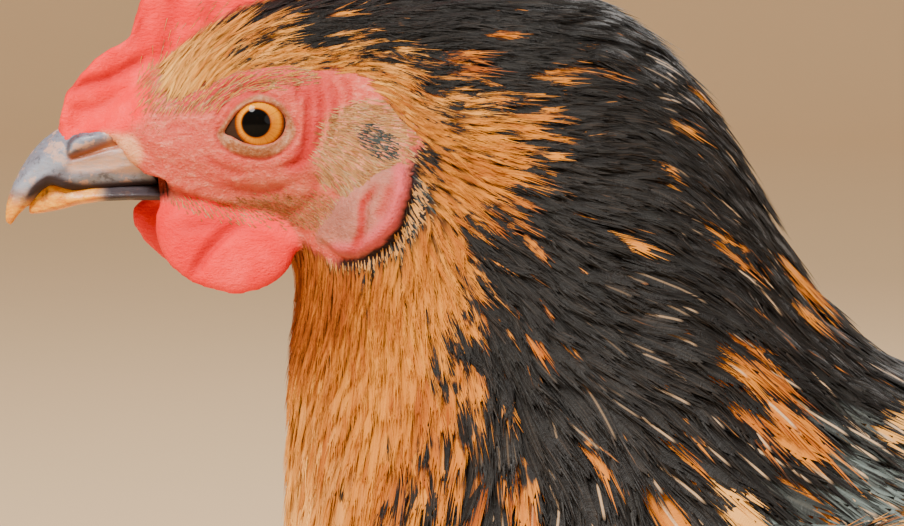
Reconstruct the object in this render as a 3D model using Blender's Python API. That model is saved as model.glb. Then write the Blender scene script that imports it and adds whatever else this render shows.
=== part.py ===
"""A life-size standing hen with a single comb, as closed solids out to the tips of its plumage.

The bird faces -X, its left side is -Y and +Z is up. The origin is on the floor, under the middle of
the bird's box. The body is lofted through sections: each section is an ellipse across a chord from
a top point to a bottom point. Outlines are in millimetres round the centre of the eye, written as
(back, up), or as (back, out, up) where they leave the middle plane, and out is away from it.
"""

import math

import bmesh
import bpy
from mathutils import Vector

MM = 0.001
EYE_BACK = -162.5 * MM
EYE_HEIGHT = 323.0 * MM
GAP = 0.3
EYEBALL_RADIUS = 7.2
EYEBALL_OUT = 8.6
LEG_OUT = 41.0
ANKLE_BACK = 105.0
FLOOR = -EYE_HEIGHT / MM
SIDES = {"left": -1.0, "right": 1.0}

# Rows of (top back, top up, bottom back, bottom up, half width), from the face to the vent.
BODY = [
    (-25.4, 2.2, -15.2, -14.0, 7.6),
    (-23.0, 4.2, -12.6, -14.8, 8.8),
    (-19.5, 7.2, -8.6, -16.0, 10.6),
    (-12.5, 12.4, -4.0, -17.6, 12.7),
    (-3.0, 18.4, 0.5, -19.0, 14.4),
    (8.5, 22.0, 4.4, -21.0, 15.9),
    (21.0, 23.8, 6.6, -24.5, 18.5),
    (34.0, 24.4, 7.0, -29.5, 21.5),
    (47.0, 23.0, 6.6, -35.5, 25.0),
    (59.0, 19.0, 5.8, -42.5, 29.0),
    (69.0, 12.0, 5.6, -51.0, 33.5),
    (77.0, 2.0, 5.4, -62.0, 39.0),
    (83.5, -9.5, 5.2, -76.0, 45.5),
    (90.0, -21.5, 2.8, -92.0, 52.5),
    (98.0, -33.0, -2.6, -110.0, 59.0),
    (109.0, -42.0, -6.5, -130.0, 64.5),
    (124.0, -48.5, -3.0, -152.0, 68.5),
    (143.0, -52.0, 12.0, -174.0, 71.0),
    (163.0, -54.0, 42.0, -191.0, 72.0),
    (183.0, -54.5, 80.0, -200.0, 71.5),
    (202.0, -54.0, 120.0, -200.5, 69.0),
    (219.0, -53.5, 160.0, -193.0, 63.5),
    (234.0, -54.0, 198.0, -178.0, 54.5),
    (246.0, -58.0, 228.0, -154.0, 42.0),
    (253.5, -67.0, 246.0, -126.0, 27.0),
    (256.0, -79.0, 253.5, -102.0, 11.0),
]
# Where the body is parted, as a place along the rows above.
HEAD_END = 7.0
NECK_MIDDLE = 10.0
NECK_END = 13.5
ROW_SPACING = 12.0

UPPER_BEAK = [
    (-25.8, 1.6, -15.8, -10.2, 7.0),
    (-30.0, -0.2, -18.6, -10.3, 6.2),
    (-34.0, -2.2, -23.5, -10.5, 5.1),
    (-37.4, -5.4, -30.0, -10.9, 4.0),
    (-40.0, -9.8, -35.2, -12.4, 2.8),
    (-41.5, -13.8, -39.0, -15.2, 1.5),
    (-41.7, -17.0, -40.8, -17.3, 0.6),
]
LOWER_BEAK = [
    (-16.4, -10.9, -15.8, -13.6, 5.0),
    (-23.5, -11.1, -23.3, -13.4, 4.1),
    (-30.0, -11.6, -30.0, -14.2, 3.1),
    (-34.0, -12.9, -34.0, -15.4, 2.1),
    (-36.8, -14.6, -36.9, -15.6, 0.8),
]
# The comb's edge from the beak, over the five points, to the blade behind, then along the skull.
COMB_EDGE = [
    (-32.6, -0.6),
    (-31.0, 4.4),
    (-27.0, 9.2),
    (-23.4, 13.6),
    (-21.4, 20.0),
    (-19.4, 26.4),
    (-17.2, 27.4),
    (-15.4, 25.0),
    (-12.6, 33.0),
    (-9.0, 39.6),
    (-6.6, 39.2),
    (-4.6, 30.2),
    (-1.0, 37.6),
    (4.0, 44.6),
    (6.8, 43.8),
    (7.8, 31.8),
    (12.0, 38.0),
    (18.0, 43.4),
    (20.6, 42.0),
    (20.0, 31.6),
    (25.0, 35.6),
    (31.0, 38.0),
    (33.0, 36.0),
    (31.6, 29.8),
    (37.0, 30.4),
    (40.0, 27.4),
    (37.0, 23.0),
    (20.0, 17.0),
    (0.0, 12.0),
    (-14.0, 4.0),
    (-22.0, 0.0),
    (-28.0, -3.0),
]
COMB_HALF_BASE = 3.0
COMB_HALF_TIP = 1.1
COMB_FOOT = 15.0
COMB_CREST = 45.0
# Rows of (top back, top out, top up, bottom back, bottom out, bottom up, half thickness).
WATTLE = [
    (-17.6, 4.2, -15.0, -17.9, 4.6, -16.6, 0.8),
    (-16.2, 5.0, -12.6, -17.0, 6.6, -20.4, 1.5),
    (-12.6, 6.2, -11.6, -13.4, 8.6, -24.2, 1.8),
    (-8.0, 7.0, -11.8, -8.2, 9.8, -27.2, 2.0),
    (-3.0, 7.6, -12.6, -2.2, 10.2, -28.5, 2.0),
    (1.6, 8.2, -14.0, 3.0, 10.0, -26.4, 1.8),
    (4.8, 8.6, -16.4, 5.8, 9.4, -22.4, 1.3),
    (5.9, 8.7, -18.6, 6.3, 8.9, -20.4, 0.8),
]
# The earlobe and the wing are drawn flat, as rows like the body's, and laid on the body's flank.
EARLOBE = [
    (9.4, -19.0, 9.6, -20.8, 0.8),
    (11.2, -14.6, 12.6, -23.2, 2.0),
    (15.2, -10.2, 17.2, -22.6, 2.7),
    (19.8, -7.4, 21.6, -19.6, 2.7),
    (23.6, -6.6, 25.0, -14.8, 2.0),
    (25.8, -8.2, 26.2, -11.0, 0.8),
]
WING = [
    (32.0, -98.0, 30.5, -107.0, 3.0),
    (43.0, -80.0, 37.0, -124.0, 8.0),
    (61.0, -67.0, 54.0, -138.0, 9.5),
    (88.0, -61.0, 84.0, -147.0, 10.0),
    (118.0, -60.0, 116.0, -149.0, 9.5),
    (150.0, -61.0, 150.0, -144.0, 9.0),
    (180.0, -64.0, 184.0, -131.0, 8.0),
    (208.0, -69.0, 214.0, -114.0, 6.5),
    (236.0, -75.0, 240.0, -100.0, 4.5),
    (262.0, -82.0, 264.0, -90.0, 2.5),
]
# The wing stands this far off the flank, and never comes nearer the middle than the second figure.
WING_LIFT = 2.5
WING_LEAST_OUT = 28.5
TAIL = [
    (236.0, -62.0, 238.0, -113.0, 24.0),
    (250.0, -43.0, 266.0, -107.0, 22.5),
    (266.0, -20.0, 297.0, -92.0, 19.5),
    (284.0, 4.0, 326.0, -69.0, 16.0),
    (299.0, 23.0, 349.0, -46.0, 13.0),
    (312.0, 37.0, 362.0, -24.0, 10.0),
    (324.0, 44.0, 366.0, -3.0, 7.0),
    (336.0, 45.0, 362.0, 16.0, 3.5),
]
# The legs' chords run from a front point to a back point.
THIGH = [
    (60.0, LEG_OUT - 9.0, -146.0, 154.0, LEG_OUT - 9.0, -146.0, 24.0),
    (64.0, LEG_OUT - 1.0, -166.0, 154.0, LEG_OUT - 1.0, -168.0, 26.0),
    (72.0, LEG_OUT + 1.0, -186.0, 150.0, LEG_OUT + 1.0, -191.0, 23.5),
    (87.0, LEG_OUT + 1.0, -205.0, 142.0, LEG_OUT + 1.0, -211.0, 17.5),
    (101.0, LEG_OUT, -221.0, 134.0, LEG_OUT, -226.0, 11.5),
    (110.5, LEG_OUT, -233.0, 130.5, LEG_OUT, -236.0, 7.5),
]
SHANK = [
    (113.5, LEG_OUT, -233.6, 127.5, LEG_OUT, -236.0, 5.6),
    (112.8, LEG_OUT, -245.0, 124.4, LEG_OUT, -247.0, 5.2),
    (110.0, LEG_OUT, -262.0, 119.0, LEG_OUT, -264.0, 4.2),
    (106.4, LEG_OUT, -280.0, 115.0, LEG_OUT, -282.0, 4.1),
    (102.0, LEG_OUT, -298.0, 112.0, LEG_OUT, -300.0, 4.8),
    (98.5, LEG_OUT, -310.7, 111.5, LEG_OUT, -310.7, 6.2),
]
# Name, turn away from straight ahead towards the outside in degrees, length, radius at the foot.
TOES = [
    ("inner", -31.0, 40.0, 4.1),
    ("middle", 2.0, 54.0, 4.4),
    ("outer", 33.0, 44.0, 4.1),
    ("hind", 188.0, 19.0, 3.3),
]
TOE_TIP_SHARE = 0.68
TOE_PADS = 3
TOE_SWELL = 0.09
FOOT_HEIGHT = 12.0
ANKLE_RADIUS = 8.5
ANKLE_SHAPE = (0.95, 0.85, 1.45)
ANKLE_UP = 4.0
CLAW_LENGTH = 11.0
CLAW_SHARES = (0.0, 0.25, 0.5, 0.75, 0.92, 1.0)
CLAW_DROOP = 1.9
CLAW_BLUNT = 0.35
SLAB = 0.5

# Base colour, roughness and metallic value.
FINISHES = {
    "plumage_gold": ((0.62, 0.29, 0.07, 1.0), 0.75, 0.0),
    "plumage_black": ((0.03, 0.03, 0.035, 1.0), 0.6, 0.0),
    "bare_skin": ((0.78, 0.25, 0.22, 1.0), 0.55, 0.0),
    "comb_red": ((0.82, 0.12, 0.11, 1.0), 0.45, 0.0),
    "earlobe": ((0.8, 0.42, 0.4, 1.0), 0.5, 0.0),
    "beak_horn": ((0.27, 0.27, 0.3, 1.0), 0.35, 0.0),
    "claw_horn": ((0.3, 0.26, 0.22, 1.0), 0.4, 0.0),
    "eye": ((0.85, 0.42, 0.03, 1.0), 0.08, 0.0),
    "leg_scale": ((0.33, 0.33, 0.28, 1.0), 0.5, 0.0),
}


def clear_scene():
    """Removes every object, and makes the two collections."""
    for obj in list(bpy.data.objects):
        bpy.data.objects.remove(obj, do_unlink=True)
    made = {}
    for name in ("hen", "cutters"):
        made[name] = bpy.data.collections.new(name)
        bpy.context.scene.collection.children.link(made[name])
    return made


COLLECTIONS = clear_scene()


def place(back, out, up):
    """A point round the eye, in millimetres, as a point of the bird's frame in metres."""
    return Vector((back * MM + EYE_BACK, out * MM, up * MM + EYE_HEIGHT))


def finish_of(name):
    """The material of that name, made on first use."""
    material = bpy.data.materials.get(name)
    if material is None:
        colour, roughness, metallic = FINISHES[name]
        material = bpy.data.materials.new(name)
        material.use_nodes = True
        shader = material.node_tree.nodes["Principled BSDF"]
        shader.inputs["Base Color"].default_value = colour
        shader.inputs["Roughness"].default_value = roughness
        shader.inputs["Metallic"].default_value = metallic
    return material


def new_object(name, mesh, finish=None, collection="hen"):
    """An object with this mesh, in a collection. A cutter has no finish and stays out of renders."""
    obj = bpy.data.objects.new(name, mesh)
    COLLECTIONS[collection].objects.link(obj)
    if finish is None:
        obj.hide_render = True
        obj.display_type = "WIRE"
    else:
        mesh.materials.clear()
        mesh.materials.append(finish_of(finish))
        mesh.shade_smooth()
        mesh.set_sharp_from_angle(angle=math.radians(40.0))
    return obj


def row_at(rows, u):
    """The row at place u along a table, on a smooth curve through its rows."""
    last = len(rows) - 1
    index = min(int(u), last - 1)
    t = u - index
    before, here, there, after = (rows[min(max(index + k, 0), last)] for k in (-1, 0, 1, 2))
    return [
        0.5 * (2 * b + (c - a) * t + (2 * a - 5 * b + 4 * c - d) * t**2 + (3 * b - a - 3 * c + d) * t**3)
        for a, b, c, d in zip(before, here, there, after)
    ]


def chords_of(rows, start, end, count, side=1.0):
    """Count sections between two places of a table, as (top point, bottom point, half width)."""
    chords = []
    for step in range(count):
        row = row_at(rows, start + (end - start) * step / (count - 1))
        if len(row) == 5:
            top, bottom = (row[0], 0.0, row[1]), (row[2], 0.0, row[3])
        else:
            top, bottom = (row[0], side * row[1], row[2]), (row[3], side * row[4], row[5])
        chords.append((place(*top), place(*bottom), row[-1] * MM))
    return chords


def loft_mesh(name, chords, sides):
    """A closed mesh through elliptical sections, with a flat cap at each end."""
    bm = bmesh.new()
    middles = [(top + bottom) / 2 for top, bottom, _ in chords]
    rings = []
    for index, (top, bottom, half_width) in enumerate(chords):
        along = middles[min(index + 1, len(chords) - 1)] - middles[max(index - 1, 0)]
        half_chord = (top - bottom) / 2
        across = along.cross(half_chord).normalized() * half_width
        turns = [2 * math.pi * k / sides for k in range(sides)]
        rings.append(
            [bm.verts.new(middles[index] + half_chord * math.cos(t) + across * math.sin(t)) for t in turns]
        )
    for ring, following in zip(rings, rings[1:]):
        for k in range(sides):
            nxt = (k + 1) % sides
            bm.faces.new((ring[k], ring[nxt], following[nxt], following[k]))
    for ring in (rings[0], rings[-1]):
        bm.faces.new(ring)
    bmesh.ops.recalc_face_normals(bm, faces=bm.faces)
    mesh = bpy.data.meshes.new(name)
    bm.to_mesh(mesh)
    bm.free()
    return mesh


def flank_out(back, up):
    """How far the body's side is from its middle plane at a point seen from the side."""
    finer = 8
    steps = finer * (len(BODY) - 1)
    previous = None
    for step in range(steps + 1):
        row = row_at(BODY, step / finer)
        chord = Vector((row[2] - row[0], row[3] - row[1]))
        reach = Vector((back - row[0], up - row[1]))
        past, down = chord.cross(reach) / chord.length, reach.dot(chord) / chord.length_squared
        if previous is not None and past * previous[0] <= 0.0 and past != previous[0]:
            share = previous[0] / (previous[0] - past)
            along = previous[1] + (down - previous[1]) * share
            half_width = previous[2] + (row[4] - previous[2]) * share
            if 0.0 <= along <= 1.0:
                return half_width * math.sqrt(1.0 - (2.0 * along - 1.0) ** 2)
        previous = (past, down, row[4])
    return 0.0


def lay_on_flank(mesh, side, lift=0.0, least_out=0.0):
    """Moves a mesh drawn flat in the middle plane out to one flank of the body, bent to that flank."""
    for vertex in mesh.vertices:
        back, up = (vertex.co.x - EYE_BACK) / MM, (vertex.co.z - EYE_HEIGHT) / MM
        out = (flank_out(back, up) ** 3 + least_out**3) ** (1 / 3) + lift
        vertex.co.y = side * (out * MM + vertex.co.y)
    if side < 0.0:
        mesh.flip_normals()
    mesh.update()
    return mesh


def evaluated_mesh(obj):
    """A copy of the object's mesh with its modifiers applied."""
    bpy.context.view_layer.update()
    graph = bpy.context.evaluated_depsgraph_get()
    return bpy.data.meshes.new_from_object(obj.evaluated_get(graph))


def grown_copy(obj, gap=GAP):
    """A cutter of the object's shape, larger by the gap all round."""
    mesh = evaluated_mesh(obj)
    moves = [vertex.normal.copy() * gap * MM for vertex in mesh.vertices]
    for vertex, move in zip(mesh.vertices, moves):
        vertex.co += move
    cutter = new_object(obj.name + "_clearance", mesh, collection="cutters")
    cutter.matrix_world = obj.matrix_world
    return cutter


def add_boolean(obj, other, operation):
    """Cuts the other object from this one, or joins it on."""
    modifier = obj.modifiers.new(operation.lower() + "_" + other.name, "BOOLEAN")
    modifier.operation = operation
    modifier.solver = "EXACT"
    modifier.object = other


def fit_against(obj, neighbours):
    """Cuts the object back so that it meets these cutters with a small gap."""
    for neighbour in neighbours:
        add_boolean(obj, neighbour, "DIFFERENCE")
    return obj


def make_body():
    """The head, two lengths of neck and the trunk, parted by thin cuts across the body."""
    cut = GAP / ROW_SPACING / 2
    last = len(BODY) - 1.0
    spans = [
        ("head", 0.0, HEAD_END - cut, 15, "bare_skin"),
        ("neck_upper", HEAD_END + cut, NECK_MIDDLE - cut, 6, "plumage_gold"),
        ("neck_lower", NECK_MIDDLE + cut, NECK_END - cut, 7, "plumage_black"),
        ("trunk", NECK_END + cut, last, 16, "plumage_black"),
    ]
    made = {}
    for name, start, end, rings, finish in spans:
        mesh = loft_mesh(name, chords_of(BODY, start, end, rings), sides=24)
        made[name] = new_object(name, mesh, finish)
    return made


def make_eye(side_name):
    """One eyeball, a ball that looks out through the side of the head."""
    centre = place(0.0, SIDES[side_name] * EYEBALL_OUT, 0.0)
    bm = bmesh.new()
    bmesh.ops.create_uvsphere(bm, u_segments=16, v_segments=10, radius=EYEBALL_RADIUS * MM)
    mesh = bpy.data.meshes.new("eye_" + side_name)
    bm.to_mesh(mesh)
    bm.free()
    eye = new_object("eye_" + side_name, mesh, "eye")
    eye.location = centre
    eye.rotation_euler = (math.pi / 2, 0.0, 0.0)
    return eye


def make_beak(head_clearance):
    """The two horn halves of the bill, against the flat front of the face."""
    made = {}
    for name, rows, rings in (("beak_upper", UPPER_BEAK, 11), ("beak_lower", LOWER_BEAK, 7)):
        mesh = loft_mesh(name, chords_of(rows, 0.0, len(rows) - 1.0, rings), sides=12)
        made[name] = fit_against(new_object(name, mesh, "beak_horn"), [head_clearance])
    return made


def make_comb(clearances):
    """The upright single comb, thick where it stands on the skull and thin at its points."""
    curve = bpy.data.curves.new("comb_edge", "CURVE")
    curve.dimensions = "2D"
    curve.fill_mode = "BOTH"
    curve.extrude = COMB_HALF_BASE * MM
    spline = curve.splines.new("POLY")
    spline.points.add(len(COMB_EDGE) - 1)
    for point, (back, up) in zip(spline.points, COMB_EDGE):
        spot = place(back, 0.0, up)
        point.co = (spot.x, spot.z, 0.0, 1.0)
    spline.use_cyclic_u = True
    flat = bpy.data.objects.new("comb_flat", curve)
    COLLECTIONS["cutters"].objects.link(flat)
    mesh = evaluated_mesh(flat)
    bpy.data.objects.remove(flat, do_unlink=True)
    foot, crest = place(0.0, 0.0, COMB_FOOT).z, place(0.0, 0.0, COMB_CREST).z
    for vertex in mesh.vertices:
        x, z, across = vertex.co
        share = min(max((z - foot) / (crest - foot), 0.0), 1.0)
        half = COMB_HALF_BASE + (COMB_HALF_TIP - COMB_HALF_BASE) * share
        vertex.co = (x, -across * half / COMB_HALF_BASE, z)
    bm = bmesh.new()
    bm.from_mesh(mesh)
    bmesh.ops.remove_doubles(bm, verts=bm.verts, dist=0.00002)
    bmesh.ops.recalc_face_normals(bm, faces=bm.faces)
    bm.to_mesh(mesh)
    bm.free()
    fit_against(new_object("comb", mesh, "comb_red"), clearances)


def make_lobes(clearances):
    """The wattles under the jaw and the earlobes behind it, one of each on each side."""
    for side_name, side in SIDES.items():
        name = "wattle_" + side_name
        mesh = loft_mesh(name, chords_of(WATTLE, 0.0, len(WATTLE) - 1.0, 12, side), sides=10)
        fit_against(new_object(name, mesh, "comb_red"), clearances)
        name = "earlobe_" + side_name
        mesh = loft_mesh(name, chords_of(EARLOBE, 0.0, len(EARLOBE) - 1.0, 9), sides=12)
        fit_against(new_object(name, lay_on_flank(mesh, side), "earlobe"), clearances)


def make_wing(side_name, clearances):
    """A folded wing, a thin shell from the wrist to the tips of the flight feathers."""
    name = "wing_" + side_name
    mesh = loft_mesh(name, chords_of(WING, 0.0, len(WING) - 1.0, 15), sides=16)
    lay_on_flank(mesh, SIDES[side_name], WING_LIFT, WING_LEAST_OUT)
    fit_against(new_object(name, mesh, "plumage_black"), clearances)


def make_tail(clearances):
    """The tail, folded like a tent and carried up behind the rump."""
    mesh = loft_mesh("tail", chords_of(TAIL, 0.0, len(TAIL) - 1.0, 12), sides=18)
    fit_against(new_object("tail", mesh, "plumage_black"), clearances)


def make_leg(side_name, clearances):
    """The feathered thigh and the bare scaled shank of one leg."""
    side = SIDES[side_name]
    name = "thigh_" + side_name
    mesh = loft_mesh(name, chords_of(THIGH, 0.0, len(THIGH) - 1.0, 9, side), sides=14)
    thigh = fit_against(new_object(name, mesh, "plumage_gold"), clearances)
    name = "shank_" + side_name
    mesh = loft_mesh(name, chords_of(SHANK, 0.0, len(SHANK) - 1.0, 10, side), sides=12)
    fit_against(new_object(name, mesh, "leg_scale"), [grown_copy(thigh)])


def toe_chords(side, turn, length, radius):
    """Sections along a toe, swollen at its three pads and sunk a little below the floor."""
    heading = math.radians(turn)
    ahead, aside = -math.cos(heading), side * math.sin(heading)
    chords = []
    steps = 8
    for step in range(steps):
        share = step / (steps - 1)
        swell = 1.0 + TOE_SWELL * math.cos(2 * math.pi * TOE_PADS * share)
        r = radius * (1.0 - (1.0 - TOE_TIP_SHARE) * share) * swell
        back, out = ANKLE_BACK + ahead * length * share, side * LEG_OUT + aside * length * share
        top, bottom = place(back, out, FLOOR + 1.9 * r), place(back, out, FLOOR - 0.25 * r)
        chords.append((top, bottom, r * 0.95 * MM))
    return chords


def claw_chords(side, turn, length, radius):
    """Sections along a claw, from the end of its toe down to a blunt point just off the floor."""
    heading = math.radians(turn)
    ahead, aside = -math.cos(heading), side * math.sin(heading)
    chords = []
    for share in CLAW_SHARES:
        reach = length + GAP + CLAW_LENGTH * share
        r = radius * TOE_TIP_SHARE * 0.72 * (1.0 - share**1.6) + CLAW_BLUNT
        middle = radius * TOE_TIP_SHARE + 0.5 - CLAW_DROOP * share**2
        back, out = ANKLE_BACK + ahead * reach, side * LEG_OUT + aside * reach
        chords.append((place(back, out, FLOOR + middle + r), place(back, out, FLOOR + middle - r), r * 0.7 * MM))
    return chords


def floor_cutter():
    """A slab with its top at floor level, which gives every toe its flat."""
    bm = bmesh.new()
    bmesh.ops.create_cube(bm, size=SLAB)
    bmesh.ops.translate(bm, verts=bm.verts, vec=(0.0, 0.0, -SLAB / 2))
    mesh = bpy.data.meshes.new("floor_slab")
    bm.to_mesh(mesh)
    bm.free()
    return new_object("floor_slab", mesh, collection="cutters")


def make_foot(side_name, floor):
    """One foot: its pad and four toes as one solid, and a claw on each toe."""
    side = SIDES[side_name]
    bm = bmesh.new()
    bmesh.ops.create_uvsphere(bm, u_segments=14, v_segments=8, radius=ANKLE_RADIUS * MM)
    bmesh.ops.scale(bm, verts=bm.verts, vec=ANKLE_SHAPE)
    bmesh.ops.translate(bm, verts=bm.verts, vec=place(ANKLE_BACK, side * LEG_OUT, FLOOR + ANKLE_UP))
    mesh = bpy.data.meshes.new("foot_" + side_name)
    bm.to_mesh(mesh)
    bm.free()
    foot = new_object("foot_" + side_name, mesh, "leg_scale")
    for toe, turn, length, radius in TOES:
        mesh = loft_mesh("toe", toe_chords(side, turn, length, radius), sides=10)
        add_boolean(foot, new_object("toe_" + toe + "_" + side_name, mesh, collection="cutters"), "UNION")
        name = "claw_" + toe + "_" + side_name
        new_object(name, loft_mesh(name, claw_chords(side, turn, length, radius), sides=6), "claw_horn")
    top = new_object("foot_top_" + side_name, floor.data, collection="cutters")
    top.location.z = SLAB + FOOT_HEIGHT * MM
    fit_against(foot, [floor, top])


def main():
    """Builds the bird from the body outwards, each piece cut back by those before it."""
    body = make_body()
    body_clearance = {name: grown_copy(obj) for name, obj in body.items()}
    head, neck = body_clearance["head"], body_clearance["neck_upper"]
    beak = make_beak(head)
    make_comb([head, neck, grown_copy(beak["beak_upper"])])
    make_lobes([head, neck])
    for side_name in SIDES:
        add_boolean(body["head"], grown_copy(make_eye(side_name)), "DIFFERENCE")
    rear = [body_clearance["trunk"], body_clearance["neck_lower"]]
    make_tail(rear)
    floor = floor_cutter()
    for side_name in SIDES:
        make_wing(side_name, rear)
        make_leg(side_name, rear)
        make_foot(side_name, floor)


main()
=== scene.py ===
"""The looks of a standing hen in black and gold plumage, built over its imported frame.

Places are millimetres round the centre of the eye: back towards the tail, out to the bird's right
and up. The bird faces -X and stands on the floor at z = 0.
"""

import logging
import math
from dataclasses import dataclass, field
from enum import Enum
from typing import Callable, Iterable, Optional, Sequence

import bmesh
import bpy
import numpy as np
from mathutils import Matrix, Vector
from mathutils.bvhtree import BVHTree


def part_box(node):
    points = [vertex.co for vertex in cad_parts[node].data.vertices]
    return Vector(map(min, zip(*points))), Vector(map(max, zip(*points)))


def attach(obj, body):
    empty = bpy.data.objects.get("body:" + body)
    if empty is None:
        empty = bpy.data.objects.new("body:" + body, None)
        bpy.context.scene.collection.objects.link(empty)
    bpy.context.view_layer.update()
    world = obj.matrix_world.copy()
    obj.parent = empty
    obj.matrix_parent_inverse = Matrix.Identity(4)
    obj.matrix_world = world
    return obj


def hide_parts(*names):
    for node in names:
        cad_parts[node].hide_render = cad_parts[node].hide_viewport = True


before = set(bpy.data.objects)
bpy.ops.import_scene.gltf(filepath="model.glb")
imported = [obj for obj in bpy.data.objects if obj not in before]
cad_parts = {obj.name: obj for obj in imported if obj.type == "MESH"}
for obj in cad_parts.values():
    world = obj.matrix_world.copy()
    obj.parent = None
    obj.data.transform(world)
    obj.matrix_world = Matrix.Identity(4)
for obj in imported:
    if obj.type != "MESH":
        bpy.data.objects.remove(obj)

log = logging.getLogger("hen")
MM = 0.001
# The side of one feather's patch on the baking map.
PATCH = 0.003
# How many roots are tried for each one that has room.
CROWD = 4.0
Array = np.ndarray
Line = Sequence[tuple[float, float]]
COMB_AND_LOBES = ("comb", "wattle_left", "wattle_right", "earlobe_left", "earlobe_right")
LEGS = tuple(f"{part}_{side}" for side in ("left", "right") for part in ("shank", "foot"))
PLUMED = ("head", "neck_upper", "neck_lower", "trunk", "tail", "wing_left", "wing_right")
PLUMED += ("thigh_left", "thigh_right")


class Side(Enum):
    """The two sides of the bird, as the sign of out."""

    LEFT = -1.0
    RIGHT = 1.0

    @property
    def word(self) -> str:
        """The side's name in the frame's nodes."""
        return self.name.lower()


# ---------------------------------------------------------------- places and numbers


def eye_centre() -> Array:
    """The point between the eyes, in metres.

    Returns:
        Its place.
    """
    low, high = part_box("eye_left")
    middle = (low + high) / 2
    return np.array((middle.x, 0.0, middle.z))


EYE = eye_centre()


def to_world(places: Array) -> Array:
    """Millimetres round the eye as metres in the frame."""
    return np.asarray(places, float) * MM + EYE


def from_world(points: Array) -> Array:
    """Metres in the frame as millimetres round the eye."""
    return (np.asarray(points, float) - EYE) / MM


def ease(values: Array, low: float, high: float) -> Array:
    """A smooth step from 0 at low to 1 at high."""
    share = np.clip((np.asarray(values, float) - low) / (high - low), 0.0, 1.0)
    return share * share * (3.0 - 2.0 * share)


def fade(values: Array, low: float, high: float) -> Array:
    """A smooth step from 1 at low to 0 at high."""
    return 1.0 - ease(values, low, high)


def hump(values: Array, width: float) -> Array:
    """A smooth hump, 1 where the values are 0 and almost 0 past twice the width."""
    return np.exp(-((values / width) ** 2))


def between(first: Sequence, second: Sequence, share: float | Array) -> Array:
    """The mix of two values or places, the first where the share is 0."""
    return np.asarray(first) * (1 - share) + np.asarray(second) * share


def write_mask(mesh: bpy.types.Mesh, name: str, values: Array) -> None:
    """Writes one number for each vertex, for a finish to read."""
    mesh.attributes.new(name, "FLOAT", "POINT").data.foreach_set("value", values.astype(np.float32))


def unit(vectors: Array) -> Array:
    """The vectors at length one."""
    return vectors / np.maximum(np.linalg.norm(vectors, axis=-1, keepdims=True), 1e-9)


def lumps(places: Array, size: float, seed: int = 0) -> Array:
    """Smooth noise from -1 to 1 whose lumps are about this size.

    Args:
        places: Points, one row each.
        size: The lumps' spacing in the points' own unit.
        seed: Picks another pattern.

    Returns:
        One number for each point.
    """
    cell = places / size
    low = np.floor(cell).astype(np.int64)
    share = cell - low
    share = share * share * (3.0 - 2.0 * share)
    total = np.zeros(len(places))
    for corner in range(8):
        step = np.array([(corner >> axis) & 1 for axis in range(3)])
        key = (low + step) @ np.array((73856093, 19349663, 83492791)) + seed * 2654435761
        key = (key ^ (key >> 13)) * 1274126177 & 0xFFFFFFFF
        key = (key ^ (key >> 16)) & 0xFFFFFF
        weight = np.prod(np.where(step, share, 1.0 - share), axis=1)
        total += weight * (key / 0x7FFFFF - 1.0)
    return total


def line_distance(spots: Array, line: Line, closed: bool = False) -> tuple[Array, Array]:
    """How far each spot is from a drawn line, and how far along the line its nearest point is, 0 to 1.

    Args:
        spots: Places as seen from the side.
        line: The points of the line.
        closed: Whether it runs back to its start.

    Returns:
        The distances and the shares of the line's length.
    """
    points = np.array(line, float)
    if closed:
        points = np.vstack((points, points[:1]))
    lengths = np.linalg.norm(np.diff(points, axis=0), axis=1)
    starts = np.concatenate(([0.0], np.cumsum(lengths)))
    best, along = np.full(len(spots), np.inf), np.zeros(len(spots))
    for start, end, length, run in zip(points, points[1:], lengths, starts):
        share = np.clip((spots - start) @ (end - start) / max(length, 1e-9) ** 2, 0.0, 1.0)
        gap = np.linalg.norm(spots - start - share[:, None] * (end - start), axis=1)
        nearer = gap < best
        best, along = np.where(nearer, gap, best), np.where(nearer, run + share * length, along)
    return best, along / starts[-1]


def depth_inside(spots: Array, outline: Line) -> Array:
    """How deep each spot is inside a closed outline, and below zero outside it.

    Args:
        spots: Places as seen from the side.
        outline: The corners of the outline.

    Returns:
        The depths.
    """
    points = np.array(outline, float)
    inside = np.zeros(len(spots), bool)
    for (ax, ay), (bx, by) in zip(points, np.roll(points, -1, axis=0)):
        if ay != by:
            crosses = (spots[:, 1] < ay) != (spots[:, 1] < by)
            inside ^= crosses & (spots[:, 0] < ax + (spots[:, 1] - ay) * (bx - ax) / (by - ay))
    gap, _ = line_distance(spots, outline, closed=True)
    return np.where(inside, gap, -gap)


def rounded(line: Line, closed: bool = False, steps: int = 6) -> Array:
    """A smooth curve through a few points, as more points.

    Args:
        line: The points.
        closed: Whether the curve runs back to its start.
        steps: How many points it gets between two of the given ones.

    Returns:
        The points of the curve.
    """
    points = np.array(line, float)
    count = len(points)
    spans = count if closed else count - 1
    made = []
    for index in range(spans):
        wanted = [index - 1, index, index + 1, index + 2]
        a, b, c, d = (points[k % count] if closed else points[min(max(k, 0), count - 1)] for k in wanted)
        for step in range(steps):
            t = step / steps
            square, cube = 2 * a - 5 * b + 4 * c - d, 3 * b - a - 3 * c + d
            made.append(0.5 * (2 * b + (c - a) * t + square * t**2 + cube * t**3))
    if not closed:
        made.append(points[-1])
    return np.array(made)


def inside(spots: Array, outline: Line) -> Array:
    """How deep each spot is inside a smooth outline through a few points."""
    return depth_inside(spots, rounded(outline, closed=True))


def beside(spots: Array, line: Line) -> Array:
    """How far each spot is from a smooth line through a few points."""
    return line_distance(spots, rounded(line))[0]


# ---------------------------------------------------------------- meshes


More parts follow.
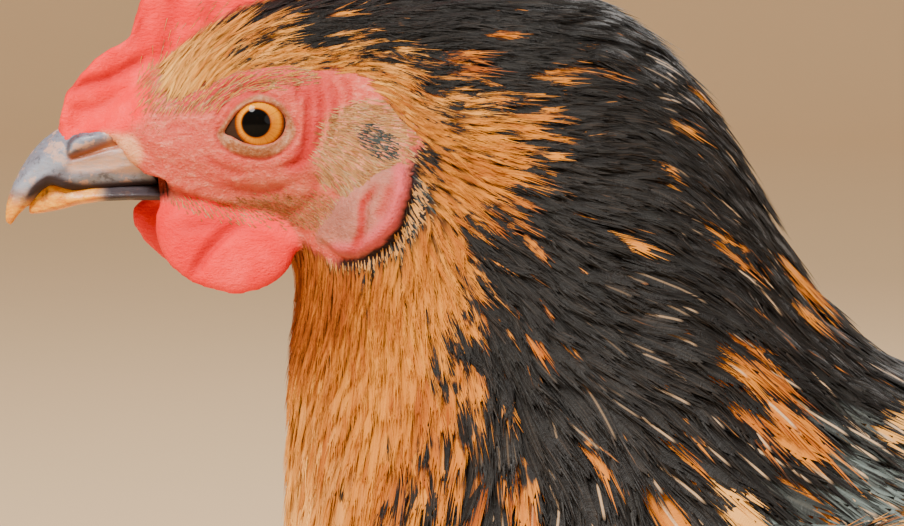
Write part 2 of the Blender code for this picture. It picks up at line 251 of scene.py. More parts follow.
def numbers(items: Sequence, name: str, width: int = 1, kind: type = np.float32) -> Array:
    """One attribute of every item of a mesh's collection.

    Args:
        items: The collection.
        name: The attribute.
        width: How many numbers each item has.
        kind: Their type.

    Returns:
        The numbers, a row for each item.
    """
    found = np.empty(len(items) * width, kind)
    items.foreach_get(name, found)
    return found.reshape(-1, width) if width > 1 else found


def evaluated(mesh: bpy.types.Mesh, **remesh: float) -> bpy.types.Mesh:
    """The mesh after a voxel remesh.

    Args:
        mesh: A mesh, which is removed.
        remesh: Settings of the Remesh modifier.

    Returns:
        A new mesh of even quads, closed.
    """
    obj = bpy.data.objects.new("blank", mesh)
    bpy.context.scene.collection.objects.link(obj)
    modifier = obj.modifiers.new("even", "REMESH")
    modifier.mode = "VOXEL"
    for name, value in remesh.items():
        setattr(modifier, name, value)
    graph = bpy.context.evaluated_depsgraph_get()
    made = bpy.data.meshes.new_from_object(obj.evaluated_get(graph))
    bpy.data.objects.remove(obj)
    bpy.data.meshes.remove(mesh)
    return made


def joined_nodes(nodes: Iterable[str], grow: float) -> bpy.types.Mesh:
    """Copies of frame nodes in one mesh, each grown a little so that it reaches into its neighbours.

    Args:
        nodes: Names of the frame's nodes.
        grow: How far each face moves outwards, in millimetres.

    Returns:
        A mesh whose shells cross where the nodes meet.
    """
    bm = bmesh.new()
    for name in nodes:
        piece = bmesh.new()
        piece.from_mesh(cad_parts[name].data)
        bmesh.ops.remove_doubles(piece, verts=piece.verts, dist=0.01 * MM)
        piece.normal_update()
        moves = [vert.normal * grow * MM for vert in piece.verts]
        for vert, move in zip(piece.verts, moves):
            vert.co += move
        mesh = bpy.data.meshes.new(name + "_copy")
        piece.to_mesh(mesh)
        piece.free()
        bm.from_mesh(mesh)
        bpy.data.meshes.remove(mesh)
    mesh = bpy.data.meshes.new("joined")
    bm.to_mesh(mesh)
    bm.free()
    return mesh


class Clay:
    """A mesh held as arrays in millimetres round the eye, to be smoothed and pushed about.

    A column of its places is a view of them, so that a change to it moves the vertices at the next store.
    """

    def __init__(self, mesh: bpy.types.Mesh) -> None:
        """Reads a mesh.

        Args:
            mesh: The mesh to shape.
        """
        self.mesh = mesh
        self.places = from_world(numbers(mesh.vertices, "co", 3))
        self.edges = numbers(mesh.edges, "vertices", 2, np.int32)
        self.normals = self._read_normals()

    def _read_normals(self) -> Array:
        """The vertex normals of the mesh as it is now."""
        return numbers(self.mesh.vertex_normals, "vector", 3).astype(float)

    def store(self) -> None:
        """Writes the places back, and reads the new normals."""
        self.mesh.vertices.foreach_set("co", to_world(self.places).astype(np.float32).ravel())
        self.mesh.update()
        self.normals = self._read_normals()

    def mean_near(self, values: Array) -> Array:
        """The mean of each vertex's neighbours.

        Args:
            values: A value for each vertex.

        Returns:
            The means.
        """
        first, second = self.edges.T
        count = np.bincount(first, minlength=len(values)) + np.bincount(second, minlength=len(values))
        columns = values.reshape(len(values), -1).T
        sums = [
            np.bincount(first, column[second], len(values)) + np.bincount(second, column[first], len(values))
            for column in columns
        ]
        return (np.stack(sums, 1) / np.maximum(count, 1)[:, None]).reshape(values.shape)

    def smooth(self, rounds: int, share: Optional[Array] = None) -> None:
        """Evens out facets without shrinking the shape.

        Args:
            rounds: How many double steps.
            share: How much each vertex takes part, 0 to 1.
        """
        share = np.ones(len(self.places)) if share is None else share
        for _ in range(rounds):
            for step in (0.6, -0.62):
                self.places += (self.mean_near(self.places) - self.places) * (step * share)[:, None]
        self.store()

    def share(self, kinds: Array, part: "Part", rounds: int) -> Array:
        """How much each vertex belongs to a part, with soft edges."""
        return self.blur((kinds == part.value).astype(float), rounds)

    def blur(self, values: Array, rounds: int) -> Array:
        """A mask with its edges softened."""
        for _ in range(rounds):
            values = 0.5 * values + 0.5 * self.mean_near(values)
        return values

    def push(self, amount: Array) -> None:
        """Moves every vertex along its normal, by this many millimetres."""
        self.places += self.normals * amount[:, None]
        self.store()


class Surface:
    """The outside of a mesh, for finding the nearest point on it."""

    def __init__(self, mesh: bpy.types.Mesh) -> None:
        """Builds the search tree, in millimetres round the eye.

        Args:
            mesh: The mesh to search.
        """
        self.mesh = mesh
        self.places = from_world(numbers(mesh.vertices, "co", 3))
        self.normals = numbers(mesh.vertex_normals, "vector", 3).astype(float)
        mesh.calc_loop_triangles()
        self.triangles = numbers(mesh.loop_triangles, "vertices", 3, np.int32)
        self.tree = BVHTree.FromPolygons(self.places.tolist(), self.triangles.tolist())

    def nearest(self, places: Array) -> tuple[Array, Array]:
        """The nearest points of the surface, and its smooth normals there.

        Args:
            places: The places to start from.

        Returns:
            The points and the normals.
        """
        found = np.empty((len(places), 3))
        index = np.empty(len(places), int)
        for row, place in enumerate(places.tolist()):
            spot, _, face, _ = self.tree.find_nearest(place)
            found[row], index[row] = spot, face
        return found, self.normal_at(found, index)

    def normal_at(self, spots: Array, index: Array) -> Array:
        """The normals at spots in these triangles, smooth from vertex to vertex.

        Args:
            spots: The spots.
            index: The triangle of each.

        Returns:
            The normals.
        """
        corners = self.places[self.triangles[index]]
        across, down = corners[:, 1] - corners[:, 0], corners[:, 2] - corners[:, 0]
        reach = spots - corners[:, 0]
        d00, d01, d11 = (across * across).sum(1), (across * down).sum(1), (down * down).sum(1)
        d20, d21 = (reach * across).sum(1), (reach * down).sum(1)
        area = np.maximum(d00 * d11 - d01 * d01, 1e-12)
        v, w = (d11 * d20 - d01 * d21) / area, (d00 * d21 - d01 * d20) / area
        weights = np.clip(np.stack((1.0 - v - w, v, w), 1), 0.0, 1.0)
        return unit((self.normals[self.triangles[index]] * weights[:, :, None]).sum(1))

    def scatter(self, rng: np.random.Generator, wanted: Array, gaps: Array) -> tuple[Array, Array]:
        """Points all over a part of the surface, none nearer another than the gap there.

        Args:
            rng: The random numbers.
            wanted: Which triangles are in the part.
            gaps: The least distance at each triangle, in millimetres.

        Returns:
            The points, one row each, and the triangle that each is in.
        """
        own = np.flatnonzero(wanted)
        corners = self.places[self.triangles[own]]
        across, down = corners[:, 1] - corners[:, 0], corners[:, 2] - corners[:, 0]
        area = np.linalg.norm(np.cross(across, down), axis=1) / 2
        counts = rng.poisson(area * CROWD / gaps[own] ** 2)
        face = np.repeat(np.arange(len(own)), counts)
        a, b = rng.random((2, len(face)))
        flip = a + b > 1.0
        a, b = np.where(flip, 1.0 - a, a)[:, None], np.where(flip, 1.0 - b, b)[:, None]
        first, second, third = corners[face].transpose(1, 0, 2)
        spots = first + a * (second - first) + b * (third - first)
        order = rng.permutation(len(spots))
        kept = order[spread_out(spots[order], gaps[own[face[order]]])]
        return spots[kept], own[face[kept]]


def spread_out(spots: Array, gaps: Array) -> Array:
    """Picks, in order, the spots that lie no nearer than their gap to one picked before.

    Args:
        spots: The spots.
        gaps: The gap that each one needs, in the same unit.

    Returns:
        Which spots are picked.
    """
    cell = float(gaps.max())
    taken: dict[tuple[int, ...], list[tuple[float, float, float]]] = {}
    kept = []
    keys = np.floor(spots / cell).astype(int).tolist()
    steps = [(i, j, k) for i in (-1, 0, 1) for j in (-1, 0, 1) for k in (-1, 0, 1)]
    for row, (spot, key, gap) in enumerate(zip(spots.tolist(), keys, gaps.tolist())):
        x, y, z = spot
        limit = gap * gap
        others = (other for i, j, k in steps for other in taken.get((key[0] + i, key[1] + j, key[2] + k), ()))
        if not any((px - x) ** 2 + (py - y) ** 2 + (pz - z) ** 2 < limit for px, py, pz in others):
            kept.append(row)
            taken.setdefault(tuple(key), []).append((x, y, z))
    return np.array(kept, int)


# ---------------------------------------------------------------- finishes


Colour = tuple[float, float, float]


def maths(operation: str, swapped: bool = False) -> Callable[..., "Val"]:
    """Makes an operator of shader values, which adds one Math node.

    Args:
        operation: What the node does.
        swapped: Whether the other value comes first.

    Returns:
        The operator, for a value and another value or number.
    """

    def run(value: "Val", other: object = 0.0) -> "Val":
        """The node's result."""
        pair = (other, value) if swapped else (value, other)
        node = value.bench.node("Math", {"operation": operation}, dict(enumerate(pair)))
        return Val(value.bench, node.outputs[0])

    return run


class Val:
    """A shader value that can be used in sums."""

    __add__ = __radd__ = maths("ADD")
    __sub__, __rsub__ = maths("SUBTRACT"), maths("SUBTRACT", swapped=True)
    __mul__ = __rmul__ = maths("MULTIPLY")
    __abs__ = maths("ABSOLUTE")
    most, least = maths("MAXIMUM"), maths("MINIMUM")

    def __init__(self, bench: "Bench", socket: bpy.types.NodeSocket) -> None:
        """Wraps an output socket."""
        self.bench = bench
        self.socket = socket

    def ease(self, low: object, high: object) -> "Val":
        """A smooth step from 0 at low to 1 at high."""
        settings = {"interpolation_type": "SMOOTHSTEP"}
        return Val(self.bench, self.bench.node("MapRange", settings, {0: self, 1: low, 2: high}).outputs[0])


class Bench:
    """The node tree of one material."""

    def __init__(self, name: str) -> None:
        """Makes a material with a bare Principled shader.

        Args:
            name: The material's name.
        """
        self.material = bpy.data.materials.new(name)
        self.material.use_nodes = True
        self.tree = self.material.node_tree
        self.shader = self.tree.nodes["Principled BSDF"]

    def node(
        self, kind: str, settings: Optional[dict] = None, values: Optional[dict] = None
    ) -> bpy.types.Node:
        """Adds a node.

        Args:
            kind: The node's type, without its first word.
            settings: Its own settings, a ramp's stops among them, which are set first.
            values: What goes into its sockets: numbers, colours, sockets or values.

        Returns:
            The new node.
        """
        made = self.tree.nodes.new("ShaderNode" + kind)
        for name, value in (settings or {}).items():
            if name == "stops":
                self._set_stops(made.color_ramp, value)
            else:
                setattr(made, name, value)
        for key, value in (values or {}).items():
            self.plug(made.inputs[key], value)
        return made

    @staticmethod
    def _set_stops(ramp: bpy.types.ColorRamp, stops: Sequence[tuple[float, Colour]]) -> None:
        """Gives a ramp its places and colours."""
        for _ in range(len(stops) - 2):
            ramp.elements.new(0.5)
        for element, (place, colour) in zip(ramp.elements, stops):
            element.position = place
            element.color = (*colour, 1.0)

    def plug(self, socket: bpy.types.NodeSocket, value: object) -> None:
        """Links a value to a socket, or sets the socket to it."""
        if isinstance(value, Val):
            self.tree.links.new(value.socket, socket)
        elif isinstance(value, bpy.types.NodeSocket):
            self.tree.links.new(value, socket)
        elif isinstance(value, tuple) and socket.type == "RGBA":
            socket.default_value = (*value, 1.0)
        else:
            socket.default_value = value

    def mask(self, name: str) -> Val:
        """A number that the mesh holds at each of its points."""
        return Val(self, self.node("Attribute", {"attribute_name": name}).outputs["Fac"])

    def uv(self, name: str) -> tuple[Val, Val]:
        """The two numbers of a map of the mesh."""
        parted = self.node("SeparateXYZ", None, {0: self.node("UVMap", {"uv_map": name}).outputs[0]})
        return Val(self, parted.outputs[0]), Val(self, parted.outputs[1])

    def place(
        self, centre: Sequence[float] = (0.0,) * 3, scale: Sequence[float] = (1.0,) * 3
    ) -> bpy.types.NodeSocket:
        """The place on the piece, round a centre in metres and stretched by a scale.

        Args:
            centre: The centre.
            scale: The scale on each axis.

        Returns:
            The place's socket.
        """
        shift = tuple(-c * s for c, s in zip(centre, scale))
        spot = self.node("TexCoord").outputs["Object"]
        values = {"Vector": spot, "Location": shift, "Scale": tuple(scale)}
        return self.node("Mapping", None, values).outputs[0]

    def noise(self, size: float, vector: object = None, detail: float = 3.0, rough: float = 0.55) -> Val:
        """Cloudy noise from 0 to 1, whose lumps are about this many metres across."""
        values = {"Vector": vector or self.place(), "Scale": 1.0 / size, "Detail": detail, "Roughness": rough}
        return Val(self, self.node("TexNoise", None, values).outputs[0])

    def cells(self, size: float) -> Val:
        """The distance to the nearest of many scattered points."""
        values = {"Vector": self.place(), "Scale": 1.0 / size}
        return Val(self, self.node("TexVoronoi", {"feature": "F1"}, values).outputs["Distance"])

    def blend(self, numbers: Sequence[object]) -> bpy.types.NodeSocket:
        """Three values as one vector."""
        return self.node("CombineXYZ", None, dict(enumerate(numbers))).outputs[0]

    def length(self, vector: object) -> Val:
        """The length of a vector."""
        return Val(self, self.node("VectorMath", {"operation": "LENGTH"}, {0: vector}).outputs["Value"])

    def mix(self, share: object, first: object, second: object, blend: str = "MIX") -> bpy.types.NodeSocket:
        """A colour between two, or one laid over the other."""
        settings = {"data_type": "RGBA", "blend_type": blend}
        return self.node("Mix", settings, {0: share, 6: first, 7: second}).outputs[2]

    def bump(self, *layers: tuple[Val, float]) -> None:
        """Raises the surface by heights, each with its full height in millimetres."""
        below = None
        for height, most in layers:
            values = {"Height": height, "Distance": most * MM, "Strength": 1.0}
            if below is not None:
                values["Normal"] = below
            below = self.node("Bump", None, values).outputs[0]
        self.plug(self.shader.inputs["Normal"], below)

    def finish(self, colour: object, roughness: object, more: dict[str, object]) -> bpy.types.Material:
        """Sets the shader's colour, roughness and other inputs, and gives the material."""
        for name, value in {"Base Color": colour, "Roughness": roughness, **more}.items():
            self.plug(self.shader.inputs[name], value)
        return self.material


@dataclass(frozen=True)
class SkinFinish:
    """Living skin: coral comb, flushed face, pale lids and lobes, slate legs, dark under the plumage."""

    comb: Colour = (0.84, 0.0, 0.006)
    comb_mottle_and_highlight: Colour = (1.0, 0.045, 0.045)
    # The deep reds darken the creases as painted shade; the face's deep red also darkens its random mottling.
    comb_crease_shade: Colour = (0.6, 0.0, 0.006)
    face: Colour = (0.56, 0.078, 0.053)
    face_pale: Colour = (0.78, 0.29, 0.21)
    face_mottle_and_shade: Colour = (0.42, 0.02, 0.016)
    flush: Colour = (0.5, 0.03, 0.034)
    jaw: Colour = (0.34, 0.12, 0.055)
    cere: Colour = (0.86, 0.42, 0.22)
    lid: Colour = (0.29, 0.1, 0.04)
    lid_grey: Colour = (0.42, 0.22, 0.13)
    lobe: Colour = (0.3, 0.11, 0.08)
    lobe_rim: Colour = (0.56, 0.085, 0.095)
    # Near black: painted shade in the mouth and a painted shadow behind the earlobes.
    mouth_and_lobe_shade: Colour = (0.02, 0.008, 0.008)
    leg: Colour = (0.16, 0.17, 0.15)
    leg_light: Colour = (0.34, 0.33, 0.24)
    leg_gap: Colour = (0.05, 0.048, 0.042)
    sole: Colour = (0.42, 0.33, 0.18)
    gold: Colour = (0.34, 0.12, 0.03)
    black: Colour = (0.016, 0.014, 0.013)

    def make(self) -> bpy.types.Material:
        """Builds the material.

        Returns:
            The material.
        """
        b = Bench("living_skin")
        broad, fine = b.noise(0.006), b.noise(0.0009, detail=5.0, rough=0.65)
        bead = 1.0 - b.cells(0.00062).ease(0.05, 0.5)
        bare_share = (1.0 - b.mask("plume")) * 0.6
        comb, lid, lobe, rim = b.mask("comb"), b.mask("lid"), b.mask("lobe"), b.mask("rim")
        names = ("crease", "pale", "leg", "plume", "gold", "gap", "sole")
        crease, pale, leg, plume, gold, gap, under = (b.mask(name) for name in names)
        flake = b.noise(0.0016, b.place(scale=(0.7, 1.0, 1.5)), detail=6.0, rough=0.7)
        specks = bead * 0.3 + fine.ease(0.45, 0.8) * 0.6 + flake.ease(0.5, 0.68) * 0.7
        speckle = specks * (0.2 + broad * 0.8)
        colour = b.mix((speckle + pale * 0.45).least(1.0), self.face, self.face_pale)
        colour = b.mix((0.5 - flake).most(0.0) * 3.4 * bare_share, colour, self.face_mottle_and_shade)
        colour = b.mix(b.mask("flush") * (0.5 + broad.ease(0.3, 0.7) * 0.5), colour, self.flush)
        colour = b.mix(b.mask("jaw") * (0.35 + fine * 0.7), colour, self.jaw)
        colour = b.mix(b.mask("cere") * (0.5 + fine * 0.7), colour, self.cere)
        red = b.mix(broad.ease(0.3, 0.75), self.comb, self.comb_mottle_and_highlight)
        # Random pale spots, and where the pale mask is high on a wattle a painted highlight.
        red = b.mix((fine.ease(0.55, 0.8) * 0.25 + pale * 0.7).least(1.0), red, self.comb_mottle_and_highlight)
        colour = b.mix(comb, colour, red)
        eyelid = b.mix(fine.ease(0.35, 0.7), self.lid, self.lid_grey)
        colour = b.mix(lid, colour, eyelid)
        pallor = broad.ease(0.3, 0.8) * 0.4 + fine.ease(0.3, 0.8) * 0.16
        ear = b.mix(rim, b.mix(pallor, self.lobe, self.face_pale), self.lobe_rim)
        colour = b.mix(lobe, colour, ear)
        # Painted shade: the creases of the face, comb, wattles and lobes, the lid edges and the front of each
        # wattle are darkened with the deep reds.
        deep = b.mix(comb, self.face_mottle_and_shade, self.comb_crease_shade)
        colour = b.mix((crease * 0.85).least(0.9), colour, deep)
        shank = b.mix(b.noise(0.004).ease(0.35, 0.75), self.leg, self.leg_light)
        shank = b.mix(gap, shank, self.leg_gap)
        shank = b.mix(under * 0.8, shank, self.sole)
        # Painted shade in the corner of the mouth and between the bill halves, and a painted shadow round the
        # rear of each earlobe.
        colour = b.mix(b.mask("mouth_and_lobe_shade"), colour, self.mouth_and_lobe_shade)
        colour = b.mix(leg, colour, shank)
        colour = b.mix(plume, colour, b.mix(gold, self.black, self.gold))
        wrinkle = b.noise(0.0007, b.place(scale=(1.0, 1.0, 1.7)), detail=3.0)
        bare = 1.0 - plume
        beads = bead * bare * (1.0 - comb * 0.8) * (1.0 - leg)
        b.bump((beads, 0.06), (wrinkle * bare, 0.2), (fine * bare, 0.2), (flake * bare * (1.0 - leg), 0.28))
        rough = 0.44 + fine * 0.18 + plume * 0.3 - comb * 0.07
        more = {"Subsurface Weight": 0.16, "Subsurface Scale": 0.0035, "Subsurface Radius": (1.0, 0.22, 0.12)}
        return b.finish(colour, rough, {**more, "Specular IOR Level": 0.15})


@dataclass(frozen=True)
class EyeFinish:
    """A wet amber iris with a brighter rim round a black pupil."""

    iris: Colour = (0.52, 0.15, 0.0)
    rim: Colour = (0.68, 0.27, 0.0)
    iris_back: float = 0.6
    deep: Colour = (0.2, 0.035, 0.0)
    edge: Colour = (0.035, 0.018, 0.012)
    pupil_forward: float = 0.55
    pupil: float = 2.3
    outer: float = 3.9
    reach: float = 6.0

    def make(self, side: Side) -> bpy.types.Material:
        """Builds the material of one eye.

        Args:
            side: The side of the bird.

        Returns:
            The material.
        """
        b = Bench("iris_" + side.word)
        low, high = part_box("eye_" + side.word)
        centre = (low + high) / 2 - Vector((self.pupil_forward * MM, 0.0, 0.0))
        scale = (1.0 / (self.reach * MM), 0.0, 1.0 / (self.reach * MM))
        spot = b.place(centre, scale)
        radius = b.length(spot)
        ring = b.length(b.place(centre + Vector((self.iris_back * MM, 0.0, 0.0)), scale))
        ray = b.node("VectorMath", {"operation": "NORMALIZE"}, {0: spot}).outputs[0]
        streak = b.noise(0.09, ray, detail=5.0, rough=0.7)
        p, o = self.pupil / self.reach, self.outer / self.reach
        bands = [(0.3, self.iris), (o - 0.12, self.rim), (o - 0.05, self.iris)]
        bands += [(o, self.deep), (o + 0.03, self.edge)]
        ramp = b.node("ValToRGB", {"stops": bands}, {0: ring + (streak - 0.5) * 0.05}).outputs[0]
        colour = b.mix(streak.ease(0.45, 0.7) * 0.35, ramp, self.deep, "MULTIPLY")
        colour = b.mix(radius.ease(p, p + 0.06), self.deep, colour)
        colour = b.mix(radius.ease(p - 0.012, p + 0.012), (0.002, 0.002, 0.002), colour)
        b.bump((streak * radius.ease(p, p + 0.03) * (1.0 - ring.ease(o - 0.05, o)), 0.12))
        more = {"Coat Weight": 0.14, "Coat Roughness": 0.015, "Specular IOR Level": 0.0}
        return b.finish(colour, 0.3, more)


@dataclass(frozen=True)
class HornFinish:
    """Bill and claw horn, from slate to a waxy yellow tip."""

    name: str
    slate: Colour = (0.14, 0.14, 0.18)
    # A paler blue-grey, painted sheen where the sheen mask is high.
    sheen: Colour = (0.28, 0.31, 0.38)
    dark: Colour = (0.018, 0.008, 0.01)
    cream: Colour = (0.8, 0.4, 0.2)
    tip: Colour = (0.6, 0.18, 0.0)
    tip_light: Colour = (0.8, 0.36, 0.03)
    nostril: Colour = (0.26, 0.07, 0.022)

    def make(self) -> bpy.types.Material:
        """Builds the material.

        Returns:
            The material.
        """
        b = Bench(self.name)
        grain = b.noise(0.0016, b.place(scale=(1.0, 1.0, 2.6)), detail=4.0)
        fine = b.noise(0.0004, detail=2.0)
        mottle = b.noise(0.0026, detail=6.0, rough=0.65)
        # Painted sheen where the sheen mask is high, and random paler streaks of grain.
        grain_and_sheen = (b.mask("sheen") * 0.8 + grain.ease(0.4, 0.8) * 0.3).least(1.0)
        colour = b.mix(grain_and_sheen, self.slate, self.sheen)
        colour = b.mix(mottle.ease(0.54, 0.62) * 0.4, colour, self.cream)
        colour = b.mix((1.0 - mottle).ease(0.54, 0.64) * 0.55, colour, self.dark)
        colour = b.mix(b.mask("cream"), colour, b.mix(grain, self.cream, self.sheen))
        colour = b.mix(b.mask("tip"), colour, b.mix(grain.ease(0.3, 0.7), self.tip, self.tip_light))
        colour = b.mix(b.mask("edge"), colour, self.dark)
        colour = b.mix(b.mask("nostril"), colour, self.nostril)
        b.bump((grain, 0.12), (fine, 0.04))
        more = {"Subsurface Weight": 0.08, "Subsurface Scale": 0.002}
        more |= {"Coat Weight": 0.12, "Coat Roughness": 0.25, "Specular IOR Level": 0.3}
        return b.finish(colour, 0.3 + grain * 0.14 + fine * 0.06 + b.mask("edge") * 0.3, more)


@dataclass(frozen=True)
class PlumeFinish:
    """Feathers in gold and black: a dark blade with a gold border, a pale shaft, and a painted grey-teal
    sheen on the black.
    """

    name: str
    gold: Colour = (0.42, 0.1, 0.006)
    gold_light: Colour = (0.62, 0.225, 0.018)
    gold_deep: Colour = (0.16, 0.026, 0.002)
    black: Colour = (0.006, 0.0045, 0.004)
    brown: Colour = (0.05, 0.026, 0.014)
    teal_sheen: Colour = (0.17, 0.21, 0.195)
    shaft: Colour = (0.55, 0.36, 0.2)
    tan: Colour = (0.27, 0.12, 0.045)
    buff: Colour = (0.95, 0.5, 0.12)
    barb_run: float = 3.0
    strands: float = 11.0

    def make(self) -> bpy.types.Material:
        """Builds the material.

        Returns:
            The material.
        """
        b = Bench(self.name)
        u, v = b.uv("Vane")
        across = abs(u - 0.5) * 3.4
        gold, tone, glow, size, dim = (b.mask(name) for name in ("gold", "tone", "sheen", "size", "dim"))
        run = b.blend((v * size * self.barb_run - across * 2.4, tone * 37.0, u * 0.6))
        barb = b.noise(0.5, run, rough=0.6)
        strand = b.noise(0.9, b.blend((u * self.strands, v * 1.3, tone * 61.0)), rough=0.6)
        patch = b.noise(0.7, b.blend((v * 2.2, tone * 91.0, u * 1.5)), detail=2.0)
        share = gold * 2.0 - 1.0 + (patch - 0.5) * 1.8 + (strand - 0.5) * 1.5 + (0.45 - across) * 0.25
        warm_share = share.ease(-0.16, 0.16)
        light = tone + (strand - 0.5) * 1.3 + (patch - 0.5) * 0.6
        warm = b.mix(light.least(1.0).most(0.0), self.gold, self.gold_light)
        deep = (0.5 - light).most(0.0) * 0.9 + barb.ease(0.6, 0.9) * 0.2
        warm = b.mix(deep.least(1.0), warm, self.gold_deep)
        warm = b.mix(b.mask("buff"), warm, self.buff)
        warm = b.mix(b.mask("beige"), warm, b.mix(light.least(1.0).most(0.0), self.tan, self.shaft))
        warm = b.mix((1.0 - v).ease(0.45, 0.85) * dim, warm, self.black)
        brown = (strand.ease(0.5, 0.75) * 0.75 + barb.ease(0.5, 0.8) * 0.3).least(1.0) * tone
        dark = b.mix(brown, self.black, self.brown)
        # Painted sheen: a grey-teal sheen over the black, where the sheen mask is high.
        dark = b.mix(glow * strand.ease(0.3, 0.7), dark, self.teal_sheen)
        colour = b.mix(warm_share, dark, warm)
        quill = (1.0 - across.ease(0.05, 0.14)) * v.ease(0.1, 0.3) * (1.0 - v.ease(0.9, 0.99))
        quill *= b.mask("quill")
        colour = b.mix(quill, colour, self.shaft)
        b.bump((barb, 0.16), (strand, 0.2))
        rough = 0.4 + warm_share * 0.18 + barb * 0.14 - tone.ease(0.7, 1.0) * (1.0 - warm_share) * 0.12
        return b.finish(colour, rough, {"Specular IOR Level": 0.17})


@dataclass(frozen=True)
class FloorFinish:
    """A plain pale studio sweep."""

    colour: Colour = (0.68, 0.49, 0.29)
    glow: Colour = (0.52, 0.33, 0.15)

    def make(self) -> bpy.types.Material:
        """Builds the material.

        Returns:
            The material.
        """
        b = Bench("pale_floor")
        cloud = b.noise(0.25, detail=4.0)
        colour = b.mix(cloud * 0.35, self.colour, tuple(c * 0.9 for c in self.colour))
        return b.finish(colour, 0.85, {"Emission Color": self.glow, "Emission Strength": 0.35})


# ---------------------------------------------------------------- the lie of the coat


class Lie:
    """Where a place is along the body and which way the coat lies there, from chords across the body."""

    chords: Line = (
        (-19.5, 7.2, -8.6, -16),
        (-3, 18.4, 0.5, -19),
        (21, 23.8, 6.6, -24.5),
        (47, 23, 6.6, -35.5),
        (69, 12, 5.6, -51),
        (83.5, -9.5, 5.2, -76),
        (98, -33, -2.6, -110),
        (124, -48.5, -3, -152),
        (163, -54, 42, -191),
        (202, -54, 120, -200.5),
        (234, -54, 198, -178),
        (256, -79, 253.5, -102),
    )

    def __init__(self) -> None:
        """Splits the chords into their ends, and finds the outline's direction at each."""
        table = np.array(self.chords)
        self.top, self.low = table[:, :2], table[:, 2:]
        self.top_run, self.low_run = (unit(np.gradient(ends, axis=0)) for ends in (self.top, self.low))

    def read(self, places: Array) -> tuple[Array, Array, Array]:
        """Where places are along the body.

        Args:
            places: Points round the eye.

        Returns:
            The number of the chord, from face to vent; the share from top line to bottom line; and
            the direction of the coat as seen from the side, as (back, up).
        """
        spots = places[:, (0, 2)]
        span = self.low - self.top
        reach = spots[:, None, :] - self.top[None]
        length = np.linalg.norm(span, axis=1)
        past = (reach[..., 1] * span[:, 0] - reach[..., 0] * span[:, 1]) / length
        share = (reach * span).sum(2) / length**2
        between = (past[:, :-1] >= 0.0) & (past[:, 1:] < 0.0)
        off = np.maximum(0.0, -share) + np.maximum(0.0, share - 1.0)
        cost = np.where(between, off[:, :-1] + off[:, 1:], 50.0)
        index = cost.argmin(1)
        row = np.arange(len(spots))
        found = between[row, index]
        index = np.where(found, index, np.where(past[:, 0] < 0.0, 0, len(span) - 2))
        step = past[row, index] / np.maximum(past[row, index] - past[row, index + 1], 1e-6)
        step = np.where(found, step, np.where(past[:, 0] < 0.0, 0.0, 1.0))
        along = index + step
        down = np.clip(share[row, index] * (1 - step) + share[row, index + 1] * step, 0.0, 1.0)
        weight = step[:, None]
        top = self.top_run[index] * (1 - weight) + self.top_run[index + 1] * weight
        low = self.low_run[index] * (1 - weight) + self.low_run[index + 1] * weight
        return along, down, unit(top * (1 - down[:, None]) + low * down[:, None])


LIE = Lie()
# Strokes along single feathers of the head and neck: back, up, and how steeply each drops, in degrees.
STROKES = (
    (-14.5, 10, -72), (-10.5, 9, -55), (-5.4, 11.2, -32), (-3, 18, -36),
    (-1.6, 15, -20), (5.4, 10, -6), (5.4, 14.5, -12), (13.7, 12.5, -6), (20, 7.4, 14),
    (23, 4.6, 36), (28, 12, 6), (27, 19, 4), (45, 21, 8), (33, 4.8, 14),
    (52, 6.6, 8), (63, 4, 18), (62, 12, 26), (58, -3.5, 10), (38.4, -6.3, 20),
    (37.6, -13, 34), (33, -16, 46), (28.5, -9, 40), (29, 0, 24), (24.5, -19.5, 64),
    (19.5, -24, 80), (46, -20.6, 36), (56.8, -13.7, 18), (41, -30, 45), (54.5, -30, 35),
    (62.5, -29, 30), (64.7, -36, 32), (68, -3, 42), (73, -20, 32), (79.5, -5, 55),
    (84, -19, 50), (80, -28, 50), (83, -36, 53), (92, -30.5, 33), (95, -39, 38),
    (78, -40, 50), (60, -46, 50), (10.6, -33, 84), (23, -35, 69), (32, -34, 58),
    (33, -47, 64), (43, -50, 62), (26, -52, 77), (34, -59, 84), (42, -63, 84),
    (52, -55, 68), (7.8, -44, 98), (9, -57, 98), (17, -58, 90), (5, -28, 90),
    (-2, -22, 80),
)
# The outline of the face that carries no plumage, as (back, up), like those below.
BARE_FACE = (
    (-36, 16), (-18.4, 16), (-16.8, 9), (-16.2, 3.6), (-13.5, 2.8), (-8, 5.2), (-3, 7.2),
    (5, 8.2), (12, 8.6), (17, 7), (20, 3.5), (23, 0.5), (25, -2), (24.3, -4),
    (23.8, -7.6), (23.5, -11), (21.8, -15.9), (19.1, -19.5), (15.6, -21.8), (12.6, -22.2), (9.6, -20.6),
    (7.5, -19.5), (3, -19.6), (-4, -18.4), (-12, -17.4), (-20, -16.5), (-34, -16),
)
# The front and throat that are mostly gold, and the gold patches behind them: back, up and radius.
GOLD_EDGE = (
    (-60, 60), (0, 40), (9.5, 27), (24, 14), (38.5, 2), (46.5, -3.6), (46, -12.9),
    (37, -20), (33.5, -28), (33.5, -40), (30, -50), (25, -66.7), (24, -95),
    (20, -125), (40, -260), (-80, -260), (-80, 60),
)
GOLD_PATCHES = (
    (76, -41.5, 5.5), (83, -48.5, 4.5), (51, -42, 1.5), (90, -29, 3), (61.5, -33, 2),
    (42.5, -36, 2), (51, -52, 1.5), (37, -60, 4.2), (31, -52, 2.6), (61.5, -40, 1.8),
    (66, -50.5, 2.4), (55.5, -61.5, 2.8), (63.5, -64, 2.6), (70.5, -37, 1.8), (59.5, -17.8, 1.8),
    (32, -64, 2.4), (76, -19, 2.2), (50, 8, 2), (34, 9.5, 2.4), (42, 14, 2), (88, -61.5, 2),
)
